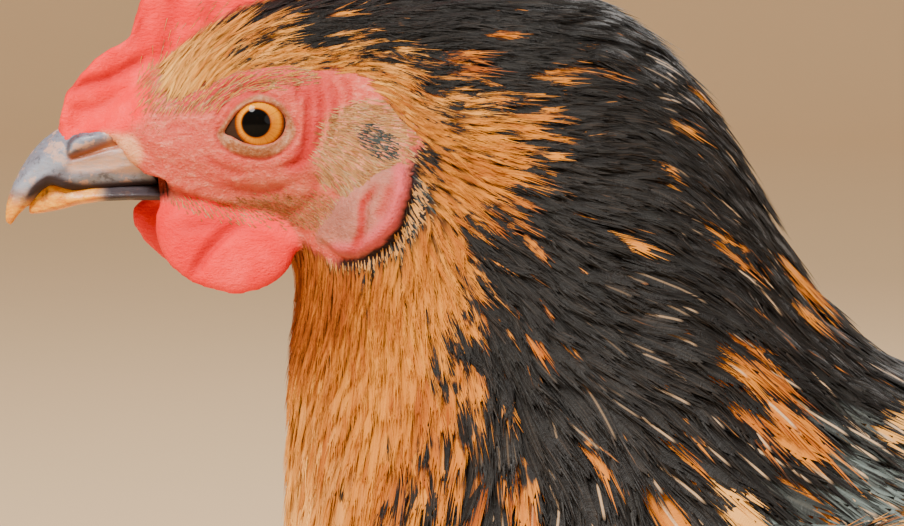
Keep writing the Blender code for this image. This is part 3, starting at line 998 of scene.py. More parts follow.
# Lines and outlines of the face, each named for what it draws.
JAW = ((-13.4, -13), (-9, -13.9), (-4.7, -14.4), (4, -14.2), (11.3, -15.2), (13, -16))
EAR = (
    (10.2, -0.5), (13.2, 2.4), (18.8, 3.2), (22.6, 0.9), (23.2, -4), (19, -8), (13.4, -9.9),
    (9.2, -7.6),
)
FLUSH = ((-11, 4.6), (-4, 6.2), (4, 7.4), (9.6, 5), (10.4, -1), (7.4, -7))
GAPE = (
    (-19, -9.2), (-17.2, -9.5), (-15.8, -10.2), (-14.2, -10.8), (-15.6, -11.5), (-16.8, -12.4), (-19, -12.8),
)
CERE = ((-25.5, -2.6), (-22, -3.4), (-20.6, -5.6), (-23, -8.2))
CHEEK = ((-2, -8.6), (5, -8.2), (9.5, -5), (12.5, -10), (12, -15.5), (2, -14.5), (-5, -12))
COMB_FOOT = (
    (-36, 16), (-18.4, 16), (-17, 9), (-17.2, 3.6), (-19, 0.4), (-22, -1.6), (-29, -1.6),
    (-31, -3.6), (-36, -1),
)


def stroke_lie(places: Array) -> tuple[Array, Array]:
    """The direction of the coat near the drawn strokes of the head and neck.

    Args:
        places: Points round the eye.

    Returns:
        The direction as (back, up), and how much it counts, from 1 near the strokes to 0 far away.
    """
    table = np.array(STROKES)
    gap = np.linalg.norm(places[:, None, (0, 2)] - table[None, :, :2], axis=2)
    weight = 1.0 / (gap**2 + 6.0) ** 2
    angle = np.radians(table[:, 2])
    flat = weight @ np.stack((np.cos(angle), -np.sin(angle)), 1)
    return unit(flat), 1.0 - ease(gap.min(1), 14.0, 34.0)


def bare_gap(places: Array) -> Array:
    """How far a place is behind or above the bare face, in millimetres, and below zero on it."""
    return -depth_inside(places[:, (0, 2)], BARE_FACE)


def gold_at(places: Array) -> Array:
    """The share of gold in the plumage at a place, from 0 for black to 1.

    Args:
        places: The places.

    Returns:
        The shares.
    """
    back, _, up = places.T
    wide = ease(back, 30.0, 120.0) * 10.0
    depth = depth_inside(places[:, (0, 2)], GOLD_EDGE) + lumps(places, 9.0, 3) * 5.0
    depth += lumps(places, 3.0, 4) * 4.0
    share = ease(depth, -6.0 - wide, 12.0 + wide)
    ragged = ease(lumps(places, 3.0, 5), -0.6, 0.1)
    for patch_back, patch_up, size in GOLD_PATCHES:
        gap = np.hypot(back - patch_back, up - patch_up)
        share = np.maximum(share, fade(gap, size * 0.5, size * 1.5) * ragged)
    crown = ease(up, 7.0, 16.0) * ease(back, -18.0, 4.0) * (back < 45.0)
    flecked = ease(lumps(places, 2.2, 6) + 0.4 * lumps(places, 1.1, 7), -0.25, 0.25)
    share *= 1.0 - crown * (1.0 - flecked) * 0.9
    low = ease(-up, 95.0, 175.0)
    return np.clip(share * (1.0 - 0.55 * low), 0.0, 1.0)


class Part(Enum):
    """The kinds of flesh that the frame's nodes are made of, all but the body in the order of their words."""

    BODY = 0
    COMB = 1
    LOBE = 2
    WATTLE = 3
    THIGH = 4
    WING = 5
    TAIL = 6
    SHANK = 7
    FOOT = 8
    EYE = 9


PART_WORDS = ("comb", "earlobe", "wattle", "thigh", "wing", "tail", "shank", "foot", "eye")


class Nodes:
    """Finds which part of the frame lies nearest a place."""

    def __init__(self) -> None:
        """Joins the nodes of flesh into one search tree."""
        places, faces, kinds = [], [], []
        for name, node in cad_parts.items():
            if name.startswith(("beak", "claw")):
                continue
            node.data.calc_loop_triangles()
            triangles = numbers(node.data.loop_triangles, "vertices", 3, np.int32)
            faces.append(triangles + sum(len(p) for p in places))
            places.append(from_world(numbers(node.data.vertices, "co", 3)))
            kind = next((k for k, word in enumerate(PART_WORDS, 1) if name.startswith(word)), Part.BODY.value)
            kinds += [kind] * len(triangles)
        self.kinds = np.array(kinds)
        self.tree = BVHTree.FromPolygons(np.vstack(places).tolist(), np.vstack(faces).tolist())

    def kind(self, places: Array) -> Array:
        """The number of the part nearest each place."""
        return self.kinds[[self.tree.find_nearest(place)[2] for place in places.tolist()]]


NODES = Nodes()


def coat_depth(places: Array, kinds: Array) -> Array:
    """How thick the coat is at each place, in millimetres.

    Args:
        places: The places.
        kinds: What part each belongs to.

    Returns:
        The depths.
    """
    depth = np.interp(bare_gap(places), (0.0, 4.0, 14.0, 40.0, 90.0), (0.0, 0.9, 2.4, 4.6, 7.5))
    hock = ease(places[:, 2], -237.0, -212.0)
    for part, most in ((Part.THIGH, 5.0 * hock), (Part.WING, 3.2), (Part.TAIL, 4.0)):
        depth = np.where(kinds == part.value, most, depth)
    bare = (Part.COMB, Part.LOBE, Part.WATTLE, Part.SHANK, Part.FOOT, Part.EYE)
    return np.where(np.isin(kinds, [part.value for part in bare]), 0.0, depth)


# ---------------------------------------------------------------- the skin


@dataclass(frozen=True)
class Fold:
    """A crease or a ridge drawn on the side of the head."""

    line: Line
    width: float
    depth: float


# The opening between the lids, the outer edge of the lids, and the folds of the skin, as (back, up).
OPENING = (
    (-5.5, -1.5), (-3.9, 1.2), (-2.2, 2.7), (-0.3, 3.3), (2, 2.8), (3.6, 1.7), (4.3, 0.1), (3.8, -1.8),
    (2.2, -3.1), (-0.3, -3.55), (-2.6, -3.1), (-4.2, -2.3),
)
LID_EDGE = (
    (-7, -2.2), (-5.5, 0.8), (-3.4, 3.3), (-0.3, 4.8), (2.2, 4.3), (4.5, 2.6), (6.1, -1), (5.2, -3.4),
    (2.9, -5.3), (-0.3, -5.9), (-4.7, -4.9),
)
FACE_FOLDS = (
    Fold(((-7.9, -1.5), (-6.6, 1.6), (-4.7, 4.1), (-2.1, 5.8), (2.9, 6.2)), 0.45, 0.45),
    Fold(((7.9, 6.0), (7.8, 1.4), (7.5, -2.8), (6.7, -5.8), (4.6, -7.2), (2.9, -7.9)), 0.6, 0.8),
    Fold(((9.4, 8.0), (9.9, 3.5), (9.8, -0.7), (8.6, -4.4), (6.0, -7.6)), 0.5, 0.75),
    Fold(((11.4, 7.6), (12.2, 3.4), (11.8, -0.6), (10.6, -3.6)), 0.5, 0.6),
    Fold(((13.6, 7.4), (14.6, 4.4), (14.2, 2.6)), 0.5, 0.5),
    Fold(((5.8, 7.8), (6.4, 4.8), (6.2, 2.6)), 0.45, 0.4),
    Fold(((-9.0, 1.2), (-7.4, 3.8), (-4.6, 6.2), (-0.6, 7.6)), 0.5, 0.5),
    Fold(((-2.0, -8.6), (-6.0, -7.6), (-9.0, -5.2)), 0.6, 0.35),
    Fold(((6.0, -10.0), (0.0, -11.8), (-6.0, -10.4)), 0.8, 0.4),
    Fold(((-9.5, -2.0), (-12.5, -0.6), (-16.0, -1.4)), 0.5, 0.3),
    Fold(((9.5, -8.0), (8.0, -13.0), (4.0, -16.0)), 0.8, 0.4),
    Fold(((-19.0, -8.0), (-14.0, -10.0), (-7.6, -12.7), (-1.0, -14.4)), 1.3, -0.7),
    Fold(((-17.0, -10.6), (-12.0, -12.2), (-7.0, -14.4)), 0.6, 0.35),
    Fold(((-8.0, 6.0), (0.0, 8.0), (8.0, 8.5)), 1.8, -0.6),
    Fold(((-19.5, -1.5), (-15.0, -4.0), (-10.0, -5.0)), 1.5, -0.3),
)
LOBE_FOLDS = (
    Fold(((18.4, -10.0), (16.4, -12.8), (16.2, -15.0), (15.8, -18.0), (14.4, -21.0)), 0.6, 1.1),
    Fold(((20.6, -9.0), (19.6, -12.4), (18.0, -15.6)), 0.8, 0.5),
)
# Where the skin stops at the bill, the middle line of the bill, and the rear rim of the earlobe.
HORN_EDGE = (
    (-60, -1.2), (-33, -1.2), (-31.6, -3.6), (-30.6, -2.7), (-28.8, -1.9), (-26.2, -1.8), (-24.6, -2.4),
    (-22.8, -3.2), (-22.4, -4.8), (-21, -6.8), (-18.6, -8.8), (-15, -10), (-14, -30),
    (-60, -30),
)
BILL_AXIS = ((-12, -5), (-22, -5), (-28, -5.6), (-33, -6.8), (-37, -9.2), (-39.6, -12.6), (-40.8, -16))
LOBE_RIM = (
    (23.6, -3.1), (23.2, -7.6), (22.8, -11), (21.2, -15.4), (18.6, -18.8), (15.3, -21.1), (12.6, -21.4),
)
WATTLE_FOLDS = (
    Fold(((-11.2, -25.6), (-8.6, -21.6), (-5.4, -18.4), (-3.0, -17.0)), 0.9, 1.1),
    Fold(((-14.0, -18.0), (-8.0, -17.0), (0.0, -18.0)), 1.2, 0.35),
)
COMB_FOLDS = (
    Fold(((-32.0, 4.6), (-28.6, 6.0), (-24.6, 7.0), (-20.8, 9.0), (-17.4, 11.0)), 0.9, 1.0),
    Fold(((-31.0, 1.6), (-26.0, 2.6), (-22.0, 4.2)), 0.8, 0.45),
    Fold(((-22.0, 12.0), (-19.6, 15.0), (-19.0, 20.0)), 1.4, 0.5),
    Fold(((-17.0, 6.0), (-14.5, 14.0), (-13.0, 24.0)), 1.5, 0.55),
    Fold(((-8.0, 15.0), (-7.0, 24.0)), 1.6, 0.5),
    Fold(((4.0, 20.0), (5.0, 30.0)), 1.6, 0.5),
    Fold(((17.0, 22.0), (19.0, 32.0)), 1.6, 0.5),
)


@dataclass
class Skin:
    """One closed skin under the whole plumage, with the bare head, lobes, shanks and toes."""

    head_voxel: float = 0.6
    body_voxel: float = 3.5
    leg_voxel: float = 1.0
    flesh_voxel: float = 1.2
    grow: float = 0.25
    neck_cut: tuple[float, float] = (34.0, -15.0)
    neck_normal: tuple[float, float] = (0.74, -0.68)
    leg_cut_height: float = 100.0
    seam: float = 1.2
    eye_zone: float = 8.6
    lid_thick: float = 0.5
    ball_out: float = 8.6
    ball_radius: float = 7.2
    wattle_root: float = 5.0
    wattle_reach: float = 0.085
    comb_back: float = 2.9
    lobe_in: float = 2.4
    scute: float = 3.1
    toe_scute: float = 2.5
    masks: dict[str, Array] = field(default_factory=dict)

    def build(self) -> bpy.types.Object:
        """Makes the skin and gives it its finish.

        Returns:
            The skin.
        """
        head = self._head()
        body = self._body()
        legs = [self._leg(side) for side in Side]
        mesh = self._join([head, body, *legs])
        clay = Clay(mesh)
        self._paint(clay)
        for name, values in self.masks.items():
            write_mask(mesh, name, values)
        mesh.shade_smooth()
        obj = add_piece("skin", mesh, SkinFinish().make())
        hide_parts(*PLUMED, *COMB_AND_LOBES, *LEGS)
        return obj

    def _cut(self, mesh: bpy.types.Mesh, point: Sequence[float], normal: Sequence[float]) -> bpy.types.Mesh:
        """Cuts away what lies in front of a plane, given round the eye.

        Args:
            mesh: The mesh.
            point: A point of the plane.
            normal: The way that it faces.

        Returns:
            The same mesh, open at the plane.
        """
        bm = bmesh.new()
        bm.from_mesh(mesh)
        spot = Vector(to_world(np.array(point)))
        geometry = bm.verts[:] + bm.edges[:] + bm.faces[:]
        bmesh.ops.bisect_plane(bm, geom=geometry, plane_co=spot, plane_no=normal, clear_outer=True)
        bm.to_mesh(mesh)
        bm.free()
        return mesh

    def _head(self) -> bpy.types.Mesh:
        """The bare head, its comb and lobes, and the upper neck.

        Returns:
            The mesh, open below.
        """
        nodes = ("head", "neck_upper", "eye_left", "eye_right", "beak_upper", *COMB_AND_LOBES)
        mesh = evaluated(joined_nodes(nodes, self.grow), voxel_size=self.head_voxel * MM)
        (back, up), (ahead, rise) = self.neck_cut, self.neck_normal
        point = (back - ahead * self.seam, 0.0, up - rise * self.seam)
        mesh = self._cut(mesh, point, (ahead, 0.0, rise))
        clay = Clay(mesh)
        kinds = NODES.kind(clay.places)
        soft = clay.blur(np.where(np.isin(kinds, (Part.BODY.value, Part.WATTLE.value)), 1.0, 0.55), 4)
        clay.smooth(55, soft)
        wattle = clay.share(kinds, Part.WATTLE, 6)
        clay.smooth(60, wattle)
        back, out, up = clay.places.T
        ahead = wattle * ease(-up, 11.0, 15.0)
        near = np.interp(up, (-26.0, -21.0, -17.0), (self.wattle_reach, -0.03, -0.07))
        back += ahead * (back - self.wattle_root) * np.where(out < 0.0, near, self.wattle_reach)
        comb = clay.share(kinds, Part.COMB, 5) * (ease(up, 9.6, 14.0) * fade(back, -22.0, -8.0))
        lobe = clay.share(kinds, Part.LOBE, 5)
        back += self.comb_back * comb - self.lobe_in * (ease(back, 16.0, 27.0) * lobe)
        up += 0.5 * self.lobe_in * lobe * ease(-up, 13.0, 22.0)
        clay.push(-coat_depth(clay.places, kinds))
        clay.smooth(6)
        self._trim_lobes(clay)
        mesh = self._refine_eyes(clay.mesh)
        clay = Clay(mesh)
        self._sculpt_head(clay)
        return mesh

    def _trim_lobes(self, clay: Clay) -> None:
        """Lets the rear edge of each earlobe drop straight to the flesh behind it.

        Args:
            clay: The shape, which is changed.
        """
        nodes = joined_nodes(("head", "neck_upper"), self.grow)
        flesh = Surface(evaluated(nodes, voxel_size=self.flesh_voxel * MM))
        found, normal = flesh.nearest(clay.places)
        back, _, up = clay.places.T
        share = ease(bare_gap(clay.places), -1.6, -0.5) * ease(back, 9.0, 11.0)
        share *= ease(-up, 2.0, 5.0) * fade(-up, 25.0, 27.0)
        share *= ((clay.places - found) * normal).sum(1) > -0.4
        clay.places += (found - 0.5 * normal - clay.places) * share[:, None]
        clay.store()
        clay.smooth(3, clay.blur((share > 0.02).astype(float), 2))

    def _refine_eyes(self, mesh: bpy.types.Mesh) -> bpy.types.Mesh:
        """Halves the faces round both eyes.

        Args:
            mesh: The head.

        Returns:
            The same mesh, finer there.
        """
        bm = bmesh.new()
        bm.from_mesh(mesh)
        places = from_world(numbers(mesh.vertices, "co", 3))
        near = (np.hypot(places[:, 0], places[:, 2]) < self.eye_zone) & (np.abs(places[:, 1]) > 5.0)
        edges = [edge for edge in bm.edges if near[edge.verts[0].index] and near[edge.verts[1].index]]
        bmesh.ops.subdivide_edges(bm, edges=edges, cuts=1, use_grid_fill=True)
        bm.to_mesh(mesh)
        bm.free()
        return mesh

    def _sculpt_head(self, clay: Clay) -> None:
        """Models the lids, the folds of the face and the grain of the comb and lobes.

        Args:
            clay: The shape, which is changed.
        """
        kinds = NODES.kind(clay.places)
        self._model_eyes(clay)
        spots = clay.places[:, (0, 2)]
        facing = ease(np.abs(clay.normals[:, 1]), 0.25, 0.6)
        comb, lobe, wattle = (clay.share(kinds, part, 3) for part in (Part.COMB, Part.LOBE, Part.WATTLE))
        face = np.clip(1.0 - comb - lobe - wattle, 0.0, 1.0)
        face *= fade(bare_gap(clay.places), 0.0, 2.0) * ease(np.hypot(*spots.T), 4.6, 6.4)
        push = np.zeros(len(spots))
        regions = ((FACE_FOLDS, face), (LOBE_FOLDS, lobe), (WATTLE_FOLDS, wattle), (COMB_FOLDS, comb))
        for folds, region in regions:
            push -= self._folds(spots, folds) * region * facing
        push += lobe * fade(beside(spots, LOBE_RIM), 0.6, 2.4) * 0.5
        push += face * (lumps(clay.places, 1.6, 11) * 0.13 + lumps(clay.places, 0.8, 12) * 0.09)
        tall = clay.places * (1.0, 1.0, 0.3)
        push += comb * (lumps(tall, 2.6, 13) * 0.4 + lumps(tall, 1.2, 14) * 0.16)
        push += wattle * lumps(clay.places, 4.5, 15) * 0.22 + lobe * lumps(clay.places, 1.4, 16) * 0.14
        clay.push(push)
        clay.smooth(1)
        self._dive_under_horn(clay)

    @staticmethod
    def _dive_under_horn(clay: Clay) -> None:
        """Draws the skin in under the horn of the upper bill, past the edge where the two meet.

        Args:
            clay: The shape, which is changed.
        """
        spots = clay.places[:, (0, 2)]
        free = (NODES.kind(clay.places) != Part.WATTLE.value) | (spots[:, 1] > -12.8)
        share = clay.blur(ease(depth_inside(spots, HORN_EDGE), -0.1, 0.8) * free, 1)
        axis = rounded(BILL_AXIS)
        nearest = np.linalg.norm(spots[:, None] - axis[None], axis=2).argmin(1)
        middle = np.column_stack((axis[nearest, 0], np.zeros(len(spots)), axis[nearest, 1]))
        inside = spots[:, 0] < -14.5
        pull = 0.55 + 0.25 * ease(-spots[:, 1], 8.5, 10.5)
        clay.places += (middle - clay.places) * (pull * share * inside)[:, None]
        clay.store()

    @staticmethod
    def _folds(spots: Array, folds: Sequence[Fold]) -> Array:
        """How deep all the folds are at each spot, fading towards their ends.

        Args:
            spots: Places as seen from the side.
            folds: The folds.

        Returns:
            The depths.
        """
        total = np.zeros(len(spots))
        for fold in folds:
            gap, along = line_distance(spots, rounded(fold.line))
            ends = ease(along, 0.0, 0.22) * fade(along, 0.78, 1.0) * 0.75 + 0.25
            total += fold.depth * hump(gap, fold.width) * ends
        return total

    def _model_eyes(self, clay: Clay) -> None:
        """Opens the lids over both eyeballs and rounds the ring of skin about them.

        Args:
            clay: The shape, which is changed.
        """
        spots = clay.places[:, (0, 2)]
        out = np.abs(clay.places[:, 1])
        radius = np.hypot(*spots.T)
        zone = (radius < 11.0) & (out > 5.0)
        flat = clay.places.copy()
        share = fade(radius, self.eye_zone - 1.4, self.eye_zone) * zone
        for _ in range(260):
            flat += (clay.mean_near(flat) - flat) * share[:, None]
        face_out = np.abs(flat[:, 1]) + 0.35 * fade(radius, 0.0, self.eye_zone)
        outside, within = -inside(spots, OPENING), inside(spots, LID_EDGE)
        ring = np.clip(outside / np.maximum(outside + within, 1e-6), 0.0, 1.0)
        ring = np.where(within < 0.0, 1.0, ring)
        ball = self.ball_out + np.sqrt(np.maximum(self.ball_radius**2 - radius**2, 1.0))
        lid = ball + self.lid_thick
        blend = ease(ring, 0.15, 1.0)
        made = lid * (1.0 - blend) + (face_out + 0.1) * blend + 0.38 * np.sin(np.pi * ring) ** 0.8
        made -= 0.4 * hump(within, 0.42)
        made = np.where(outside > 0.4, np.maximum(made, ball + 0.15), made)
        margin = ball - 0.2
        made = np.where(outside < 0.4, margin + (made - margin) * ease(outside, -0.12, 0.4), made)
        made -= 2.4 * ease(-outside, 0.0, 1.1)
        beads = lumps(np.column_stack((spots * (1.25, 0.5), out)), 0.8, 21)
        made += 0.1 * beads * np.sin(np.pi * ring) * (outside > 0.0)
        weight = fade(radius, self.eye_zone - 1.6, self.eye_zone - 0.2) * zone
        clay.places[:, 1] += weight * np.sign(clay.places[:, 1]) * (made - out)
        clay.store()

    def _body(self) -> bpy.types.Mesh:
        """The flesh under the plumage of the neck, trunk, wings, tail and thighs.

        Returns:
            The mesh, open at the neck and at both legs.
        """
        mesh = evaluated(joined_nodes(PLUMED, self.grow), voxel_size=self.body_voxel * MM)
        (back, up), (ahead, rise) = self.neck_cut, self.neck_normal
        point = (back + ahead * self.seam, 0.0, up + rise * self.seam)
        clay = Clay(mesh)
        clay.smooth(10)
        solid = Surface(mesh)
        depth = coat_depth(clay.places, NODES.kind(clay.places))
        pairs = zip(clay.places.tolist(), clay.normals.tolist())
        thick = np.array([self._thickness(solid, place, normal) for place, normal in pairs])
        clay.push(-clay.blur(np.minimum(depth, 0.35 * thick), 2))
        clay.smooth(3)
        mesh = self._cut(mesh, point, (-ahead, 0.0, -rise))
        low = (self.leg_cut_height + self.seam) - EYE[2] / MM
        return self._cut(mesh, (0.0, 0.0, low), (0.0, 0.0, -1.0))

    @staticmethod
    def _thickness(solid: Surface, place: Sequence[float], normal: Sequence[float]) -> float:
        """How far it is through the flesh from a place on it.

        Args:
            solid: The flesh.
            place: The place.
            normal: The normal there.

        Returns:
            The thickness, in millimetres.
        """
        inward = Vector(normal) * -1.0
        _, _, _, length = solid.tree.ray_cast(Vector(place) + inward * 0.2, inward, 100.0)
        return length or 100.0

    def _leg(self, side: Side) -> bpy.types.Mesh:
        """One leg from the lower thigh down, with its scales.

        Args:
            side: The side of the bird.

        Returns:
            The mesh, open above.
        """
        nodes = [f"{part}_{side.word}" for part in ("thigh", "shank", "foot")]
        mesh = evaluated(joined_nodes(nodes, self.grow), voxel_size=self.leg_voxel * MM)
        high = (self.leg_cut_height - self.seam) - EYE[2] / MM
        mesh = self._cut(mesh, (0.0, 0.0, high), (0.0, 0.0, 1.0))
        clay = Clay(mesh)
        kinds = NODES.kind(clay.places)
        clay.smooth(14)
        clay.push(-coat_depth(clay.places, kinds))
        clay.smooth(4)
        height = clay.places[:, 2] + EYE[2] / MM
        gap, strength = self._scales(clay, kinds, side)
        clay.push(0.34 * strength * (1.0 - gap * 1.6) * ease(height, 0.6, 2.4))
        clay.places[:, 2] = np.maximum(clay.places[:, 2], -EYE[2] / MM)
        clay.store()
        return mesh

    def _scales(self, clay: Clay, kinds: Array, side: Side) -> tuple[Array, Array]:
        """The scales of a leg.

        Args:
            clay: The leg.
            kinds: The part that each of its points belongs to.
            side: Which leg.

        Returns:
            How near each point is to the gap between two scales, and how strong the scales are there.
        """
        places, normals = clay.places, clay.normals
        shank, foot = clay.share(kinds, Part.SHANK, 3), clay.share(kinds, Part.FOOT, 3)
        front = ease(-normals[:, 0], -0.1, 0.35)
        bands = self._bands(places[:, 2] + 0.14 * places[:, 1] * side.value, self.scute)
        low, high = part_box("shank_" + side.word)
        root = from_world(((low.x + high.x) / 2, (low.y + high.y) / 2, 0.0))
        far = np.hypot(*(places[:, :2] - root[:2]).T)
        toes = self._bands(far, self.toe_scute)
        small = ease(lumps(places, 1.5, 31), -0.1, -0.5)
        top = ease(normals[:, 2], 0.0, 0.4)
        gap = shank * (front * bands + (1.0 - front) * small * 0.7)
        gap += foot * (top * toes * ease(far, 9.0, 14.0) + (1.0 - top) * small * 0.5)
        return gap, shank + foot

    @staticmethod
    def _bands(along: Array, size: float) -> Array:
        """Narrow lines across a length, one for each scale: 1 on a line and 0 between two."""
        part = np.abs(along / size - np.round(along / size))
        return fade(part, 0.02, 0.16)

    def _join(self, meshes: Sequence[bpy.types.Mesh]) -> bpy.types.Mesh:
        """Bridges the open edges of the head, body and legs, so that the skin is one closed shell.

        Args:
            meshes: The parts.

        Returns:
            One mesh.
        """
        bm = bmesh.new()
        for mesh in meshes:
            bm.from_mesh(mesh)
            bpy.data.meshes.remove(mesh)
        neck, left, right = [], [], []
        for edge in (edge for edge in bm.edges if edge.is_boundary):
            middle = (edge.verts[0].co + edge.verts[1].co) / 2
            above = middle.z > 2 * self.leg_cut_height * MM
            (neck if above else left if middle.y < 0.0 else right).append(edge)
        for edges in (neck, left, right):
            bmesh.ops.bridge_loops(bm, edges=edges)
        bmesh.ops.recalc_face_normals(bm, faces=bm.faces)
        log.info("skin: %d open edges left", sum(edge.is_boundary for edge in bm.edges))
        mesh = bpy.data.meshes.new("skin")
        bm.to_mesh(mesh)
        bm.free()
        return mesh

    def _paint(self, clay: Clay) -> None:
        """Works out the masks that the finish reads.

        Args:
            clay: The finished shape.
        """
        places, spots = clay.places, clay.places[:, (0, 2)]
        back, out, up = places.T
        kinds, gap = NODES.kind(places), bare_gap(places)
        own = {part: clay.share(kinds, part, 2) for part in Part}
        lobe = own[Part.LOBE] * fade(gap, 0.0, 0.6)
        leg = own[Part.SHANK] + own[Part.FOOT]
        foot = clay.blur(ease(depth_inside(spots, COMB_FOOT), -1.2, 0.8), 3)
        mouth = ease(up, -14.0, -12.6) * ease(-back, 11.0, 14.0)
        comb = np.clip(own[Part.COMB] + own[Part.WATTLE] * (1.0 - mouth) + foot, 0.0, 1.0)
        bare = np.clip(comb + lobe + own[Part.SHANK] + own[Part.FOOT], 0.0, 1.0)
        lid, crease = self._creases(spots, np.abs(out), own[Part.WATTLE], comb, lobe, 1.0 - bare)
        # A painted shadow on the skin just behind and below each earlobe; the plumage colour under it turns
        # black.
        shadow = ease(gap, -0.3, 0.3) * fade(gap, 4.0, 5.5) * ease(back, 11.0, 13.5)
        shadow *= ease(-up, 2.5, 6.0) * fade(-up, 26.0, 28.0)
        # A painted highlight: the lower rear of each wattle is paler.
        pale = own[Part.WATTLE] * ease(back, -6.0, 5.0) * ease(-up, 19.0, 25.0) * 0.6
        front = 1.0 - ease(back, 5.0, 12.0) * 0.35 * 2.0
        pale += (1.0 - bare) * front * 0.14 * ease(lumps(places, 5.0, 41), -0.4, 0.6)
        scales = np.zeros(len(places))
        for side in Side:
            scales = np.where(out * side.value > 0.0, self._scales(clay, kinds, side)[0], scales)
        self.masks = {
            "comb": comb,
            "lid": lid,
            "lobe": lobe,
            "rim": fade(beside(spots, LOBE_RIM), 1.2, 3.0) * lobe,
            "crease": np.clip(crease, 0.0, 1.0),
            "pale": np.clip(pale, 0.0, 1.0),
            "leg": np.clip(leg, 0.0, 1.0),
            "mouth_and_lobe_shade": np.maximum(self._mouth(spots, np.abs(out)), shadow),
            "gap": np.clip(scales, 0.0, 1.0),
            "sole": ease(-clay.normals[:, 2], 0.3, 0.8) * own[Part.FOOT],
            **self._tints(spots, 1.0 - bare),
            "plume": ease(gap, 0.5, 3.0) * (1.0 - bare),
            "gold": gold_at(places) * (1.0 - shadow),
        }

    def _creases(
        self, spots: Array, out: Array, wattle: Array, comb: Array, lobe: Array, face: Array
    ) -> tuple[Array, Array]:
        """The lids, and the painted shade in all the creases.

        Args:
            spots: Where each vertex is, as seen from the side.
            out: How far it is from the middle plane.
            wattle: How much it belongs to a wattle.
            comb: How much it belongs to the comb.
            lobe: How much it belongs to an earlobe.
            face: How much it belongs to the face.

        Returns:
            Two masks.
        """
        outside, within = -inside(spots, OPENING), inside(spots, LID_EDGE)
        head = (out > 5.0) & (spots[:, 0] < 10.0)
        lid = ease(within, -0.15, 0.35) * head
        # The front lobe of each wattle is darkened: painted shade.
        shaded_front_lobe = wattle * ease((spots[:, 1] + 24.8) * 0.66 - (spots[:, 0] + 10.7) * 0.75, -0.6, 1.2)
        crease = np.zeros(len(spots))
        # Painted shade in the folds that are creases.
        for folds, region in ((FACE_FOLDS, face), (LOBE_FOLDS, lobe), (WATTLE_FOLDS + COMB_FOLDS, comb)):
            deep = [fold for fold in folds if fold.depth > 0.0]
            crease += np.clip(self._folds(spots, deep) * 1.5, 0.0, 1.0) * region
        # Painted shade along the outer edge of the lids and on the lids beside the opening.
        crease += 0.7 * hump(within, 0.35) * head
        crease += 0.5 * lid * fade(outside, 0.1, 0.5) + 0.45 * shaded_front_lobe
        return lid, crease

    @staticmethod
    def _mouth(spots: Array, out: Array) -> Array:
        """Painted shade in the corner of the mouth and on the flesh between the halves of the bill.

        Args:
            spots: Places as seen from the side.
            out: How far each is from the middle plane.

        Returns:
            A mask.
        """
        throat = fade(out, 6.0, 7.6) * ease(-spots[:, 0], 13.0, 14.0)
        throat *= ease(-spots[:, 1], 8.0, 9.2) * fade(-spots[:, 1], 12.2, 13.2)
        return np.maximum(ease(inside(spots, GAPE), -0.35, 0.35), throat) * (out > 1.0)

    @staticmethod
    def _tints(spots: Array, face: Array) -> dict[str, Array]:
        """The tawny band along the jaw, the cream skin by the nostril and the flush round the eye.

        Args:
            spots: Places as seen from the side.
            face: How much each belongs to the face.

        Returns:
            The masks, by name.
        """
        band, along = line_distance(spots, rounded(JAW))
        cere, ear = beside(spots, CERE), inside(spots, EAR)
        tawny = np.maximum(0.6 * ease(inside(spots, CHEEK), -1.5, 2.5), 0.45 * ease(ear, -0.5, 1.5))
        return {
            "jaw": np.maximum(fade(band, 0.4 + 1.4 * along, 1.8 + 3.2 * along), tawny) * face,
            "cere": np.maximum(fade(cere, 0.6, 2.4), 0.45 * ease(ear, -1.5, 1.5)) * face,
            "flush": fade(beside(spots, FLUSH), 1.2, 4.4) * face,
        }


def add_piece(name: str, mesh: bpy.types.Mesh, material: bpy.types.Material) -> bpy.types.Object:
    """Puts a finished mesh in the scene, riding on the bird's only body.

    Args:
        name: The piece's name.
        mesh: Its mesh, in place.
        material: Its finish.

    Returns:
        The new object.
    """
    mesh.name = name
    mesh.materials.clear()
    mesh.materials.append(material)
    obj = bpy.data.objects.new(name, mesh)
    bpy.context.scene.collection.objects.link(obj)
    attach(obj, "root")
    mesh.calc_loop_triangles()
    log.info("%s: %d triangles", name, len(mesh.loop_triangles))
    return obj


# ---------------------------------------------------------------- eyes, bill and claws


@dataclass
class Eye:
    """One eyeball, with the clear swelling of its cornea."""

    side: Side
    columns: int = 64
    rows: int = 48
    cornea_reach: float = 4.7
    cornea_rise: float = 0.55

    def build(self) -> bpy.types.Object:
        """Makes the eyeball.

        Returns:
            The piece.
        """
        low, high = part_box("eye_" + self.side.word)
        centre, radius = (low + high) / 2, (high.x - low.x) / 2
        bm = bmesh.new()
        turn = Matrix.Rotation(math.pi / 2, 4, "X")
        bmesh.ops.create_uvsphere(
            bm, u_segments=self.columns, v_segments=self.rows, radius=radius, matrix=turn
        )
        for vert in bm.verts:
            off = math.hypot(vert.co.x, vert.co.z) / (self.cornea_reach * MM)
            if off < 1.0 and vert.co.y * self.side.value > 0.0:
                vert.co.y += self.side.value * self.cornea_rise * MM * (1.0 - off**2) ** 1.5
        bmesh.ops.translate(bm, verts=bm.verts, vec=centre)
        mesh = bpy.data.meshes.new("eyeball")
        bm.to_mesh(mesh)
        bm.free()
        mesh.shade_smooth()
        obj = add_piece("eyeball_" + self.side.word, mesh, EyeFinish().make(self.side))
        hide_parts("eye_" + self.side.word)
        return obj


# How far horn is grown beyond its frame nodes, in millimetres.
HORN_GROW = 0.05


def horn_clay(nodes: Sequence[str], voxel: float, rounds: int) -> Clay:
    """Frame nodes of horn as one smooth mesh of small faces.

    Args:
        nodes: The nodes' names.
        voxel: The size of the faces, in millimetres.
        rounds: How many times it is smoothed.

    Returns:
        The new shape.
    """
    clay = Clay(evaluated(joined_nodes(nodes, HORN_GROW), voxel_size=voxel * MM))
    clay.smooth(rounds)
    return clay


